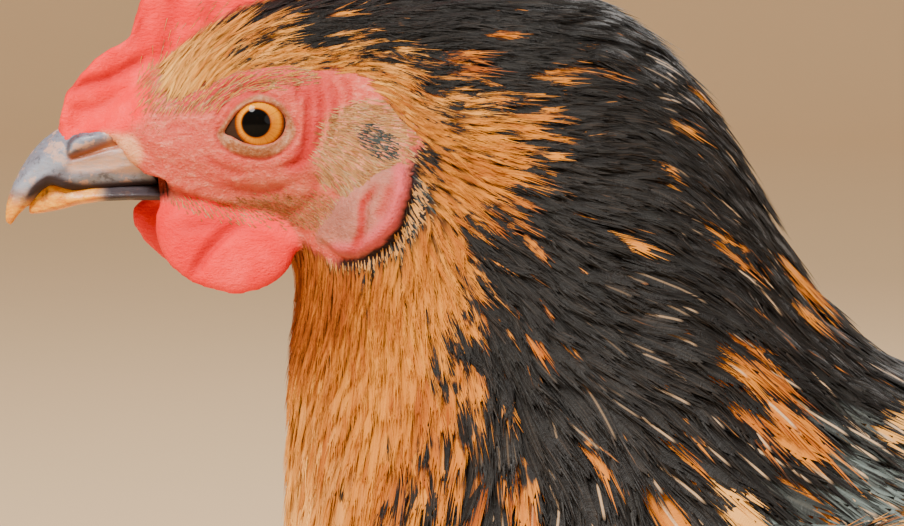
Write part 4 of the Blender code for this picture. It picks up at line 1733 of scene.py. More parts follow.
def horn_piece(
    name: str, clay: Clay, masks: dict[str, Array], node_names: Sequence[str]
) -> bpy.types.Object:
    """Finishes a piece of horn.

    Args:
        name: The piece's name.
        clay: Its shape.
        masks: What its finish reads; those left out are nowhere.
        node_names: The frame nodes that it stands for.

    Returns:
        The new object.
    """
    for mask in ("sheen", "cream", "tip", "edge", "nostril"):
        write_mask(clay.mesh, mask, np.clip(masks.get(mask, np.zeros(len(clay.places))), 0.0, 1.0))
    clay.mesh.shade_smooth()
    obj = add_piece(name, clay.mesh, HornFinish(name + "_horn").make())
    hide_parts(*node_names)
    return obj


@dataclass
class Bill:
    """The two halves of the bill, with the nostril under its flap."""

    voxel: float = 0.3
    upper_rounds: int = 45
    lower_rounds: int = 20
    tuck: float = 3.0
    nostril: Line = ((-30.6, -6.1), (-27.6, -5.2), (-25.4, -4.4), (-23, -3.6))
    flap: Line = (
        (-31.1, -5.6), (-30.9, -3.6), (-29.2, -2.3), (-26.6, -2), (-25.4, -2.8), (-27.8, -4.2), (-29.9, -5.2),
    )
    cream: Line = (
        (-31, -6.8), (-27, -5.9), (-24, -4.6), (-23.4, -2.6), (-20, -4), (-19.4, -8.4), (-25, -8.3),
        (-30.6, -8.4),
    )
    bite: Line = (
        (-40.6, -19.6), (-39.3, -16.4), (-37, -13.2), (-35.6, -11.4), (-33.8, -10.4), (-31.6, -11.2),
        (-29, -11.8), (-23, -11.5), (-15, -11),
    )
    ridge: Line = ((-31.5, -6), (-35, -7.6), (-38.2, -10.6), (-39.6, -13.4))
    hook: Line = ((-40.9, -11.6), (-38.6, -12.6), (-36.6, -10.6), (-34.6, -9.4))

    def _tuck_in(self, clay: Clay) -> None:
        """Slides the rear end a little way into the face, so that the skin closes round the horn."""
        clay.places[:, 0] += ease(clay.places[:, 0], -21.0, -16.5) * self.tuck
        clay.store()

    def upper(self) -> bpy.types.Object:
        """The upper half: ridge, nostril, flap, biting edge and hooked tip.

        Returns:
            The piece.
        """
        clay = horn_clay(("beak_upper",), self.voxel, self.upper_rounds)
        spots = clay.places[:, (0, 2)]
        side = ease(np.abs(clay.normals[:, 1]), 0.2, 0.6)
        slit, bite = beside(spots, self.nostril), beside(spots, self.bite)
        flap = ease(inside(spots, self.flap), -0.4, 0.9) * side
        wide = np.interp(spots[:, 0], (-30.6, -27.0, -24.0), (0.45, 0.62, 0.95))
        push = flap * 0.6 - hump(slit, wide) * side
        push += 0.22 * hump(bite - 0.9, 0.7) * side
        push -= 0.35 * ease(inside(spots, self.cream), -0.6, 0.8) * side
        push += 0.05 * lumps(clay.places * (0.5, 1.0, 1.6), 1.4, 51)
        clay.push(push)
        clay.smooth(1)
        back, _, up = clay.places.T
        up -= 1.1 * (ease(-up, 8.2, 10.2) * ease(back, -35.0, -32.0))
        floor = np.interp(back, *rounded(self.bite).T)
        clay.places[:, 2] = np.maximum(up, floor + 0.25 * (up - floor))
        clay.store()
        clay.smooth(2)
        self._tuck_in(clay)
        spots = clay.places[:, (0, 2)]
        bite = beside(spots, self.bite)
        tip = ease(-spots[:, 1], 10.6, 15.0) * ease(-spots[:, 0], 34.5, 38.5)
        # Painted sheen: the pale side of the ridge, the raised flap and the blue-grey band above the dark
        # biting edge
        ridge = 0.95 * fade(beside(spots, self.ridge), 0.3, 2.2)
        band = hump(bite - 2.2, 0.9) * ease(spots[:, 0], -32.0, -29.0)
        masks = {
            "tip": tip,
            "sheen": ridge + flap * 0.35 + 0.5 * band,
            "cream": ease(inside(spots, self.cream), -0.7, 0.7) * side,
            "edge": fade(bite, 0.9, 1.9) * (1.0 - tip * 0.9) + self._outline(spots) * 0.7 * side,
            "nostril": 1.2 * hump(slit, wide + 0.15) * side,
        }
        return horn_piece("bill_upper", clay, masks, ("beak_upper",))

    def _outline(self, spots: Array) -> Array:
        """The dark line in front of the flap and the dark front of the hook.

        Args:
            spots: Places as seen from the side.

        Returns:
            A mask.
        """
        around, _ = line_distance(spots, rounded(self.flap, closed=True))
        ahead = fade(around, 0.15, 0.55) * fade(spots[:, 0], -30.0, -27.5)
        return np.maximum(ahead, 0.55 * fade(beside(spots, self.hook), 0.1, 1.1))

    def lower(self) -> bpy.types.Object:
        """The lower half, dark behind and waxy yellow in front.

        Returns:
            The piece.
        """
        clay = horn_clay(("beak_lower",), self.voxel, self.lower_rounds)
        clay.push(0.02 * lumps(clay.places * (0.5, 1.0, 1.6), 1.4, 52))
        top = ease(clay.normals[:, 2], -0.1, 0.5)
        back, out, up = clay.places.T
        up += top * np.interp(back, (-36.5, -34.5, -30.0, -16.0), (1.0, 3.0, 0.7, 0.3))
        out *= 1.0 - 0.25 * top
        back -= 0.9 * ease(-back, 31.0, 36.0)
        clay.store()
        clay.smooth(8)
        self._tuck_in(clay)
        front = ease(-clay.places[:, 0], 24.0, 27.4)
        slit, _ = line_distance(clay.places[:, (0, 2)], ((-35.8, -13.4), (-34.6, -11.6)))
        masks = {"tip": front, "edge": (1.0 - front) * 0.92 + 0.8 * fade(slit, 0.1, 0.5)}
        return horn_piece("bill_lower", clay, masks, ("beak_lower",))


@dataclass
class Claws:
    """The four claws of one foot, as one piece."""

    side: Side
    voxel: float = 0.34
    rounds: int = 22

    def build(self) -> bpy.types.Object:
        """Makes the claws.

        Returns:
            The piece.
        """
        nodes = [f"claw_{toe}_{self.side.word}" for toe in ("inner", "middle", "outer", "hind")]
        clay = horn_clay(nodes, self.voxel, self.rounds)
        clay.places[:, 2] = np.maximum(clay.places[:, 2], -EYE[2] / MM)
        clay.store()
        # Painted light: the tops of the claws get a paler sheen and the undersides a dark shade, over cream
        # below.
        shade = ease(clay.normals[:, 2], -0.3, 0.7)
        masks = {"sheen": shade * 0.45, "cream": (1.0 - shade) * 0.5, "edge": 0.25 * (1.0 - shade)}
        return horn_piece("claws_" + self.side.word, clay, masks, nodes)


# ---------------------------------------------------------------- feathers


@dataclass(frozen=True)
class Vane:
    """The shape of one kind of feather, in shares of its length and of its half width."""

    rows: int
    barbs: int
    web: float
    blunt: float
    reach: float
    first_barb: float = 0.3
    ridge: float = 0.07
    barb_width: float = 0.09
    forward: float = 0.13
    aspect: float = 0.08

    def half(self, v: float) -> float:
        """The half width at a share of the length."""
        root = min(v / 0.35, 1.0)
        return self.web * (0.2 + 0.8 * root * root * (3 - 2 * root)) * max(1.0 - v**self.blunt, 0.0) ** 0.62

    def pattern(self, rng: np.random.Generator) -> tuple[Array, Array]:
        """Models one feather lying flat.

        Args:
            rng: The random numbers for its barbs.

        Returns:
            Its points as (across, along, up), and its triangles.
        """
        bm = bmesh.new()
        bmesh.ops.create_circle(bm, cap_ends=True, segments=3, radius=1.0)
        rim = bm.edges[:]
        self._shape_row(bm.verts, 0.0, 0.0)
        for row in range(1, self.rows + 1):
            v = (row / self.rows) ** 0.9
            made = bmesh.ops.extrude_edge_only(bm, edges=rim)["geom"]
            notch = rng.uniform(-0.12, 0.12) * min(1.0, 2.0 * v)
            self._shape_row([item for item in made if isinstance(item, bmesh.types.BMVert)], v, notch)
            rim = [item for item in made if isinstance(item, bmesh.types.BMEdge)]
        bmesh.ops.remove_doubles(bm, verts=bm.verts, dist=0.0005)
        for sign in (-1.0, 1.0):
            for index in range(self.barbs):
                self._add_barb(bm, sign, (index + rng.uniform(0.2, 0.8)) / self.barbs, rng)
        bmesh.ops.triangulate(bm, faces=bm.faces)
        bmesh.ops.recalc_face_normals(bm, faces=bm.faces)
        points = np.array([vert.co[:] for vert in bm.verts])
        faces = np.array([[vert.index for vert in face.verts] for face in bm.faces])
        bm.free()
        return points, faces

    def _shape_row(self, verts: Iterable[bmesh.types.BMVert], v: float, notch: float) -> None:
        """Sets the left edge, ridge and right edge of one row."""
        for vert in verts:
            half = self.half(v) * (1.0 + notch)
            if abs(vert.co.x) < 0.01 * abs(vert.co.z) + 0.001 or vert.co.z > 0.0:
                vert.co = (0.0, v, self.ridge * half + 0.012)
            else:
                vert.co = (math.copysign(half, vert.co.x), v, 0.0)

    def _add_barb(self, bm: bmesh.types.BMesh, sign: float, share: float, rng: np.random.Generator) -> None:
        """Adds one barb that stands off the edge towards the tip.

        Args:
            bm: The feather.
            sign: Its side, -1 or 1.
            share: How far along the barb stands.
            rng: The random numbers.
        """
        v = self.first_barb + (0.97 - self.first_barb) * share
        foot = Vector((sign * self.half(v) * 0.9, v, 0.0))
        out = self.reach * rng.uniform(0.55, 1.25) * (1.0 - 0.45 * share)
        run = Vector((sign * out, self.forward * rng.uniform(0.7, 1.3), rng.uniform(-0.12, 0.1)))
        middle = foot + run / 2
        thick = self.barb_width * rng.uniform(0.75, 1.25)
        real = Vector((run.x, run.y / self.aspect)).normalized() * thick
        wide = (-real.y, real.x * self.aspect)
        columns = ((wide[0], wide[1], 0, 0), (0, 0, 0.05, 0), (*run, 0), (*middle, 1))
        made = bmesh.ops.create_cone(
            bm, cap_ends=True, segments=3, radius1=1, radius2=0, depth=1, matrix=Matrix(columns).transposed()
        )
        bmesh.ops.remove_doubles(bm, verts=made["verts"], dist=1e-7)


HAIR = Vane(rows=4, barbs=0, web=1.0, blunt=1.2, reach=0.0, ridge=0.6)
TUFT = Vane(rows=4, barbs=5, web=0.6, blunt=1.9, reach=0.8, first_barb=0.2, barb_width=0.16, forward=0.42)
HACKLE = Vane(rows=7, barbs=8, web=0.78, blunt=3.0, reach=0.46, barb_width=0.12, forward=0.3)
BODY = Vane(rows=9, barbs=14, web=0.84, blunt=4.6, reach=0.36, barb_width=0.06, aspect=0.2)
FLUFF = Vane(
    rows=7, barbs=15, web=0.55, blunt=3.0, reach=0.75, first_barb=0.12, barb_width=0.08, forward=0.24,
    aspect=0.14,
)
QUILL = Vane(
    rows=22, barbs=26, web=0.93, blunt=7.0, reach=0.1, first_barb=0.2, barb_width=0.03, forward=0.03,
    aspect=0.1,
)
# The angle past which two faces of a feather meet in a hard edge.
HARD_EDGE = math.radians(75)
# How many patterns there are of each kind of feather in a piece.
VARIANTS = 5
PLUME_MASKS = ("gold", "tone", "sheen", "buff", "beige", "quill", "dim", "size")


@dataclass
class Feathers:
    """Many feathers of one kind: the line that each lies along, and what its finish reads."""

    path: Array
    normal: Array
    width: Array
    bake: Array
    gold: Array
    tone: Array
    vane: Vane
    sheen: float | Array = 0.35
    buff: float | Array = 0.0
    beige: float | Array = 0.0
    quill: float | Array = 0.5
    dim: float | Array = 0.6
    cup: float = 0.1

    @property
    def count(self) -> int:
        """How many feathers there are."""
        return len(self.path)


class Weaver:
    """Makes pieces of coat out of feathers."""

    def __init__(self, seed: int) -> None:
        """Starts the random numbers."""
        self.rng = np.random.default_rng(seed)

    def weave(self, name: str, flocks: Sequence[Feathers], slot: str) -> bpy.types.Object:
        """Joins feathers into one piece.

        Args:
            name: The piece's name.
            flocks: The feathers, kind by kind.
            slot: Not used.

        Returns:
            The new object.
        """
        kinds = ("points", "faces", "vane", "bake", *PLUME_MASKS)
        parts: dict[str, list[Array]] = {key: [] for key in kinds}
        total = 0
        for flock in flocks:
            pick = self.rng.integers(0, VARIANTS, flock.count)
            for variant in range(VARIANTS):
                shape, faces = flock.vane.pattern(self.rng)
                chosen = np.flatnonzero(pick == variant)
                if len(chosen) == 0:
                    continue
                offsets = total + np.arange(len(chosen))[:, None, None] * len(shape)
                parts["faces"].append((faces[None] + offsets).reshape(-1, 3))
                parts["points"].append(self._lay(flock, chosen, shape).reshape(-1, 3))
                total += len(chosen) * len(shape)
                flat = np.clip(np.column_stack((0.5 + shape[:, 0] / 3.4, shape[:, 1])), 0.0, 1.0)
                parts["vane"].append(np.tile(flat, (len(chosen), 1)))
                inner = (flat + shape[:, 2:] * (0.06, 0.03)) * PATCH
                parts["bake"].append((flock.bake[chosen][:, None] + inner[None] - PATCH / 2).reshape(-1, 2))
                length = np.linalg.norm(np.diff(flock.path[chosen], axis=1), axis=2).sum(1)
                each = {"gold": flock.gold[chosen], "tone": flock.tone[chosen], "size": length}
                for key in ("sheen", "buff", "beige", "quill", "dim"):
                    each[key] = np.broadcast_to(getattr(flock, key), flock.count)[chosen]
                for key, values in each.items():
                    parts[key].append(np.repeat(values, len(shape)))
        joined = {key: np.concatenate(found) for key, found in parts.items()}
        mesh = self._mesh(name, joined)
        obj = add_piece(name, mesh, PlumeFinish(name + "_plumes").make())
        return obj

    def _lay(self, flock: Feathers, chosen: Array, shape: Array) -> Array:
        """Bends the flat pattern along each feather's line.

        Args:
            flock: The feathers.
            chosen: Which of them have this pattern.
            shape: The pattern's points.

        Returns:
            The points of each feather.
        """
        path, normal, width = flock.path[chosen], flock.normal[chosen], flock.width[chosen]
        rows = path.shape[1]
        run = unit(np.gradient(path, axis=1))
        side = unit(np.cross(run, normal))
        spot = shape[:, 1] * (rows - 1)
        index = np.minimum(spot.astype(int), rows - 2)
        share = (spot - index)[None, :, None]

        def at(values: Array) -> Array:
            """The values at each point's place along the line."""
            return between(values[:, index], values[:, index + 1], share)

        middle, up, across = at(path), unit(at(normal)), unit(at(side))
        wide = width[:, None, None]
        over = shape[None, :, 0, None]
        points = middle + across * over * wide
        twist = self.rng.normal(0.0, 0.1, (len(chosen), 1, 1))
        points += up * (shape[None, :, 2, None] - flock.cup * over**2 + twist * over) * wide
        return points

    @staticmethod
    def _mesh(name: str, joined: dict[str, Array]) -> bpy.types.Mesh:
        """Writes joined arrays into a mesh.

        Args:
            name: The mesh's name.
            joined: The arrays, by name.

        Returns:
            The new mesh.
        """
        mesh = bpy.data.meshes.new(name)
        faces = joined["faces"].astype(np.int32)
        mesh.vertices.add(len(joined["points"]))
        mesh.vertices.foreach_set("co", to_world(joined["points"]).astype(np.float32).ravel())
        mesh.loops.add(faces.size)
        mesh.loops.foreach_set("vertex_index", faces.ravel())
        mesh.polygons.add(len(faces))
        mesh.polygons.foreach_set("loop_start", np.arange(0, faces.size, 3, dtype=np.int32))
        mesh.update(calc_edges=True)
        for layer, key in (("Vane", "vane"), ("OFBake", "bake")):
            values = joined[key][faces.ravel()].astype(np.float32)
            mesh.uv_layers.new(name=layer).data.foreach_set("uv", values.ravel())
        for key in PLUME_MASKS:
            write_mask(mesh, key, joined[key])
        mesh.shade_smooth()
        mesh.set_sharp_from_angle(angle=HARD_EDGE)
        return mesh


def spread_map(first: Array, second: Array) -> Array:
    """Two measures over the skin's own shape as a map that fills the square from 0 to 1.

    Args:
        first: The measure across.
        second: The measure up.

    Returns:
        A place on the map for each pair.
    """
    columns = []
    for values in (first, second):
        low, high = values.min(), values.max()
        columns.append(0.01 + 0.98 * (values - low) / max(high - low, 1e-6))
    return np.stack(columns, 1)


def hand_out(bake: Array, flocks: Sequence[Feathers]) -> None:
    """Gives each flock its own stretch of a map made for all of them."""
    start = 0
    for flock in flocks:
        flock.bake = bake[start : start + flock.count]
        start += flock.count


# Rows of flight feathers: the two end roots, their tips, how many, half width and lift.
FLIGHT_ROWS = (
    (((92, -84), (150, -98)), ((128, -136), (200, -122)), 13, 6.5, 1.5),
    (((118, -78), (158, -80)), ((168, -136), (252, -92)), 12, 7.5, 0.6),
    (((170, -92), (190, -84)), ((226, -108), (265, -87)), 7, 5.0, -0.8),
)
# Lines on the face, as (back, up): the lore's hairs and the hairs at the foot of the comb.
LORE = ((-19, -1), (-15.5, 2.5), (-11, 4.6))
CREST = ((-18.6, 3), (-16.8, 8), (-14.5, 12), (-9, 16), (-3, 19))


@dataclass(frozen=True)
class Tract:
    """A patch of small feathers on the face."""

    wanted: Array
    edge: Array
    spacing: float
    length: float
    width: float
    lie: Callable[[Array], Array]
    vane: Vane
    gold: float
    beige: float


@dataclass
class Plumage:
    """The whole coat, tract by tract, over the outline that the frame gives."""

    seed: int = 7
    grow: float = 0.3
    outline_voxel: float = 1.7
    outline_rounds: int = 16
    thigh_spacing: float = 4.3
    tail_spacing: float = 6.4
    rows: int = 12
    tail_pairs: int = 9
    jitter: float = 0.12
    stray: float = 0.16
    clump: float = 9.0

    def build(self) -> None:
        """Makes every piece of the coat."""
        self.outline = Surface(self._smooth_outline(PLUMED))
        self.middles = self.outline.places[self.outline.triangles].mean(1)
        self.kinds = NODES.kind(self.middles)
        self.weaver = Weaver(self.seed)
        self.rng = self.weaver.rng
        self._body_tracts()
        self._thighs()
        self._wings()
        self._tail()
        self._face_tracts()

    def _smooth_outline(self, nodes: Sequence[str]) -> bpy.types.Mesh:
        """Frame nodes as one smooth mesh for feathers to lie on.

        Args:
            nodes: The nodes' names.

        Returns:
            The new mesh.
        """
        mesh = evaluated(joined_nodes(nodes, self.grow), voxel_size=self.outline_voxel * MM)
        Clay(mesh).smooth(self.outline_rounds)
        return mesh

    def _trace(
        self, spots: Array, lengths: Array, heading: Callable[[Array], Array], depth: Array, lift: Array,
        ground: Optional[Surface] = None,
    ) -> tuple[Array, Array]:
        """Lays a line over the outline from each root.

        Args:
            spots: The roots, on the outline.
            lengths: How long each line is.
            heading: Gives the direction of the coat at places.
            depth: How far below the outline each root is.
            lift: How far above the outline each tip is.
            ground: What the lines lie on, if not the outline.

        Returns:
            The lines and the normals along them.
        """
        place = spots.copy()
        step = (lengths / (self.rows - 1))[:, None]
        jitter = self.rng.normal(0.0, self.jitter, (len(spots), 1))
        path, normals = [], []
        for row in range(self.rows):
            found, normal = (ground or self.outline).nearest(place)
            share = row / (self.rows - 1)
            height = -depth * (1.0 - share) ** 1.6 + lift * share**2
            path.append(found + normal * height[:, None])
            normals.append(normal)
            ahead = heading(found)
            stray = self.stray * lumps(found, self.clump, 71)[:, None]
            ahead = unit(ahead - (ahead * normal).sum(1)[:, None] * normal)
            ahead = unit(ahead + (jitter + stray) * np.cross(normal, ahead))
            place = found + ahead * step
        return np.stack(path, 1), np.stack(normals, 1)

    @staticmethod
    def _lie(places: Array) -> Array:
        """The direction of the coat over the head, neck and trunk.

        Args:
            places: The places.

        Returns:
            A direction for each.
        """
        _, _, flat = LIE.read(places)
        drawn, share = stroke_lie(places)
        flat = between(flat, drawn, share[:, None])
        return np.column_stack((flat[:, 0], np.zeros(len(places)), flat[:, 1]))

    def _roots(self, wanted: Array, spacing: Array) -> tuple[Array, Array]:
        """Scatters roots over chosen triangles of the outline, and tells the triangle of each."""
        return self.outline.scatter(self.rng, wanted, spacing)

    def _body_tracts(self) -> None:
        """The head, hackle, breast, belly, flanks and back, as one coat cut into pieces."""
        gap = bare_gap(self.middles)
        body = (self.kinds == Part.BODY.value) & (gap > 0.2)
        width = np.interp(gap, (0.0, 5.0, 20.0, 45.0, 75.0, 110.0), (0.34, 0.55, 1.2, 2.3, 3.8, 6.4))
        shown = np.interp(gap, (0.0, 5.0, 20.0, 45.0, 75.0, 110.0), (2.4, 4.2, 8.0, 12.5, 16.0, 18.0))
        share = np.interp(gap, (0.0, 12.0, 40.0, 80.0), (0.135, 0.09, 0.065, 0.1))
        spots, index = self._roots(body, np.sqrt(2.0 * width * shown * share))
        gap, width, shown = gap[index], width[index], shown[index]
        back, out, up = spots.T
        count = len(spots)
        along, down, _ = LIE.read(spots)
        lengths = shown * 1.75 * self.rng.uniform(0.75, 1.3, count)
        depth = coat_depth(spots, np.zeros(count))
        lift = self.rng.uniform(-0.3, 0.6, count) * np.interp(gap, (0.0, 10.0, 60.0), (0.5, 0.9, 1.4))
        path, normal = self._trace(spots, lengths, self._lie, depth, lift)
        row = self.rng.integers(self.rows - 3, self.rows, count)
        gold = gold_at(path[np.arange(count), row]) + self.rng.normal(0.0, 0.18, count)
        # Feathers just behind and below each earlobe lose their gold: a painted shadow.
        gold -= 0.6 * (fade(gap, 0.8, 2.6) * ease(back, 14.0, 17.0) * ease(-up, 1.0, 4.0))
        crown = fade(gap, 3.0, 13.0) * ease(up, 3.0, 7.0)
        gold -= crown * self.rng.uniform(0.0, 0.32, count) * ease(back, -15.0, -6.0)
        # The saddle carries the strongest painted sheen on its black, and some streaks of gold.
        saddle = ease(gap, 36.0, 62.0) * ease(back - 1.6 * up, 130.0, 152.0)
        saddle *= 1.0 - ease(back, 98.0, 118.0) * 0.85
        saddle *= 1.0 - ease(-up, 76.0, 96.0) * 0.92
        streaked = (self.rng.random(count) < 0.3 * saddle).astype(float)
        gold = np.clip(np.maximum(gold, 0.8 * streaked), 0.0, 1.0)
        tone = 0.5 + 0.35 * lumps(spots, 6.0, 72) + self.rng.uniform(-0.3, 0.3, count)
        # Feathers just below the wattle and earlobe are darkened: a painted shadow.
        tone = np.clip(tone - 0.5 * fade(np.hypot(back - 8.5, (up + 26.0) * 0.8), 2.0, 9.0), 0.0, 1.0)
        around = np.where(out > 0.0, down, -down)
        front, sheen = ease(down, 0.5, 0.85), 0.04 + 0.96 * saddle
        crown = fade(gap, 3.0, 12.0) * ease(up, 0.5, 4.0)
        ruff = 0.3 * front * ease(gap, 25.0, 60.0) + 0.8 * (fade(back, 7.0, 18.0) * ease(-up, 28.0, 52.0))
        brow = 0.35 * crown * fade(back, -15.0, -8.0)
        quill = ease(gap, 18.0, 50.0) * (1.0 - 0.6 * front) * (1.0 - 0.7 * ease(back, 115.0, 150.0))
        dim = (0.85 - 0.6 * front) * (1.0 - 0.9 * crown)
        for name, (chosen, vane) in self._body_pieces(gap, up, along, down).items():
            count = chosen.sum()
            drawn = self.rng.random(count) < 0.2 + 0.4 * saddle[chosen]
            pale = 0.6 * streaked[chosen] + ruff[chosen] * self.rng.random(count)
            pale += crown[chosen] * self.rng.uniform(-0.1, 0.45, count)
            pale += brow[chosen]
            flock = Feathers(
                path[chosen], normal[chosen], width[chosen], spread_map(along[chosen], around[chosen]),
                gold[chosen], tone[chosen], vane, sheen=sheen[chosen], buff=np.clip(pale, 0.0, 1.0),
                quill=quill[chosen] * drawn, dim=dim[chosen],
            )
            slot = "plumage_gold" if gold[chosen].mean() > 0.5 else "plumage_black"
            self.weaver.weave(name, [flock], slot)
            log.info("%s: %d feathers", name, flock.count)

    @staticmethod
    def _body_pieces(gap: Array, up: Array, along: Array, down: Array) -> dict[str, tuple[Array, Vane]]:
        """Which feathers of the body go into which piece.

        Args:
            gap: How far each root is from the bare skin.
            up: How high it is.
            along: How far along the coat it is.
            down: How far round the coat, from the back to the front.

        Returns:
            The choice and the kind of feather for each piece.
        """
        head, neck, trunk = gap < 11.0, (gap >= 11.0) & (gap <= 32.0), gap > 78.0
        lower = ~head & ~neck & ~trunk
        fluffy = trunk & (down > 0.72) & (along > 7.2)
        return {
            "crown_plumes": (head & (up > -2.0), TUFT),
            "throat_plumes": (head & (up <= -2.0), TUFT),
            "hackle_crest": (neck & (down <= 0.5), HACKLE),
            "hackle_collar": (neck & (down > 0.5), HACKLE),
            "hackle_front": (lower & (down > 0.45), HACKLE),
            "hackle_rear": (lower & (down <= 0.45), HACKLE),
            "breast_plumes": (trunk & ~fluffy & (down > 0.45), BODY),
            "belly_fluff": (fluffy, FLUFF),
            "back_plumes": (trunk & (down <= 0.45), BODY),
        }

    def _thighs(self) -> None:
        """The plumes of both thighs, down to the hock."""
        spots, _ = self._roots(self.kinds == Part.THIGH.value, np.full(len(self.middles), self.thigh_spacing))
        back, out, up = spots.T
        count, hock = len(spots), ease(up, -238.0, -205.0)
        depth = coat_depth(spots, np.full(count, Part.THIGH.value))
        lift = self.rng.uniform(-0.2, 0.7, count)
        ground = Surface(self._smooth_outline((*PLUMED, "shank_left", "shank_right")))
        path, normal = self._trace(spots, 11.0 + 13.0 * hock, self._thigh_lie, depth, lift, ground)
        around = np.arctan2(out - np.sign(out) * 41.0, back - 110.0)
        bake = spread_map(up, around + np.sign(out) * 3.3)
        gold = np.clip(0.14 + 0.35 * lumps(spots, 9.0, 61) + self.rng.normal(0.0, 0.1, count), 0.0, 0.55)
        tone = self.rng.random(count)
        flock = Feathers(path, normal, 2.2 + 1.6 * hock, bake, gold, tone, FLUFF, sheen=0.03, quill=0.1)
        self.weaver.weave("thigh_plumes", [flock], "plumage_black")

    @staticmethod
    def _thigh_lie(places: Array) -> Array:
        """The direction of the coat over a thigh, down and a little back."""
        return np.tile((0.32, 0.0, -1.0), (len(places), 1))

    def _wings(self) -> None:
        """The coverts and the long flight feathers of both folded wings."""
        wanted = (self.kinds == Part.WING.value) & (self.middles[:, 0] < 190.0)
        spacing = np.interp(self.middles[:, 0], (32.0, 110.0, 190.0), (3.6, 6.0, 7.0))
        spots, _ = self._roots(wanted, spacing)
        back, out, up = spots.T
        count, rear = len(spots), ease(back, 40.0, 150.0)
        lift = self.rng.uniform(0.2, 0.9, count)
        path, normal = self._trace(spots, 15.0 + 15.0 * rear, self._wing_lie, np.full(count, 3.0), lift)
        gold = np.clip(gold_at(spots) * 0.6 + 0.24 + 0.2 * lumps(spots, 12.0, 62), 0.0, 0.6)
        bake = spread_map(back, (up + 400.0) * np.sign(out))
        tone = self.rng.random(count)
        # A painted sheen on the black at the front of the wing coverts.
        sheen = 0.05 + 0.22 * fade(back, 80.0, 115.0)
        coverts = Feathers(path, normal, 4.0 + 3.0 * rear, bake, gold, tone, BODY, sheen=sheen, quill=0.12)
        self.weaver.weave("wing_coverts", [coverts], "plumage_black")
        flocks = []
        for (root_low, root_high), (tip_low, tip_high), count, width, lift in FLIGHT_ROWS:
            for side in Side:
                share = np.linspace(0.0, 1.0, count)[:, None]
                roots, tips = between(root_low, root_high, share), between(tip_low, tip_high, share)
                flocks.append(self._drawn(roots, tips, side, width, lift + share[:, 0] * 1.2, -6.0))
        back, out, up = np.concatenate([flock.path[:, 0] for flock in flocks]).T
        hand_out(spread_map(back, (up + 400.0) * np.sign(out)), flocks)
        self.weaver.weave("flight_feathers", flocks, "plumage_black")

    @staticmethod
    def _wing_lie(places: Array) -> Array:
        """The direction of the coat over a folded wing."""
        low = ease(-places[:, 2], 70.0, 140.0)
        return np.column_stack((np.ones(len(places)), np.zeros(len(places)), -0.38 + 0.5 * low))

    def _drawn(
        self, roots: Array, tips: Array, side: Side, width: float, lift: Array, sag: float
    ) -> Feathers:
        """Long feathers drawn from the side and laid on the outline.

        Args:
            roots: Where each starts, as (back, up).
            tips: Where each ends.
            side: The side of the bird.
            width: The half width.
            lift: How far each stands off the outline.
            sag: How far the middle lies above the straight line from root to tip.

        Returns:
            The feathers.
        """
        share = np.linspace(0.0, 1.0, self.rows)[None, :, None]
        flat = between(roots[:, None], tips[:, None], share)
        flat[..., 1] -= sag * 4.0 * share[..., 0] * (1.0 - share[..., 0])
        spots = np.stack((flat[..., 0], np.zeros_like(flat[..., 0]), flat[..., 1]), 2).reshape(-1, 3)
        found = np.array([self._beside(spot, side) for spot in spots.tolist()])
        places = found.reshape(len(roots), self.rows, 3)
        out = places[..., 1]
        for _ in range(3):
            out[:, 1:-1] = (out[:, :-2] + out[:, 1:-1] * 2 + out[:, 2:]) / 4
        _, normal = self.outline.nearest(places.reshape(-1, 3))
        normal = normal.reshape(places.shape)
        normal = unit(normal * (1.0, 1.0, 0.6) + np.array((0.0, 0.35 * side.value, 0.0)))
        rise = (share[..., 0] ** 0.7) * (lift[:, None] + 2.0) - 2.0
        places = places + normal * rise[..., None]
        count = len(roots)
        gold = np.clip(self.rng.normal(0.1, 0.06, count), 0.0, 0.25)
        return Feathers(
            places, normal, np.full(count, width), np.zeros((count, 2)), gold, self.rng.random(count), QUILL,
            sheen=0.06, quill=0.13, cup=0.12,
        )

    def _beside(self, spot: Sequence[float], side: Side) -> tuple[float, float, float]:
        """The outermost point of the outline beside a place in the middle plane.

        Args:
            spot: The place.
            side: The side of the bird.

        Returns:
            The point.
        """
        far = Vector((spot[0], 130.0 * side.value, spot[2]))
        hit, _, _, _ = self.outline.tree.ray_cast(far, Vector((0.0, -side.value, 0.0)), 130.0)
        if hit is None:
            hit, _, _, _ = self.outline.tree.find_nearest(Vector((spot[0], 30.0 * side.value, spot[2])))
            return (spot[0], hit.y, spot[2])
        return tuple(hit)

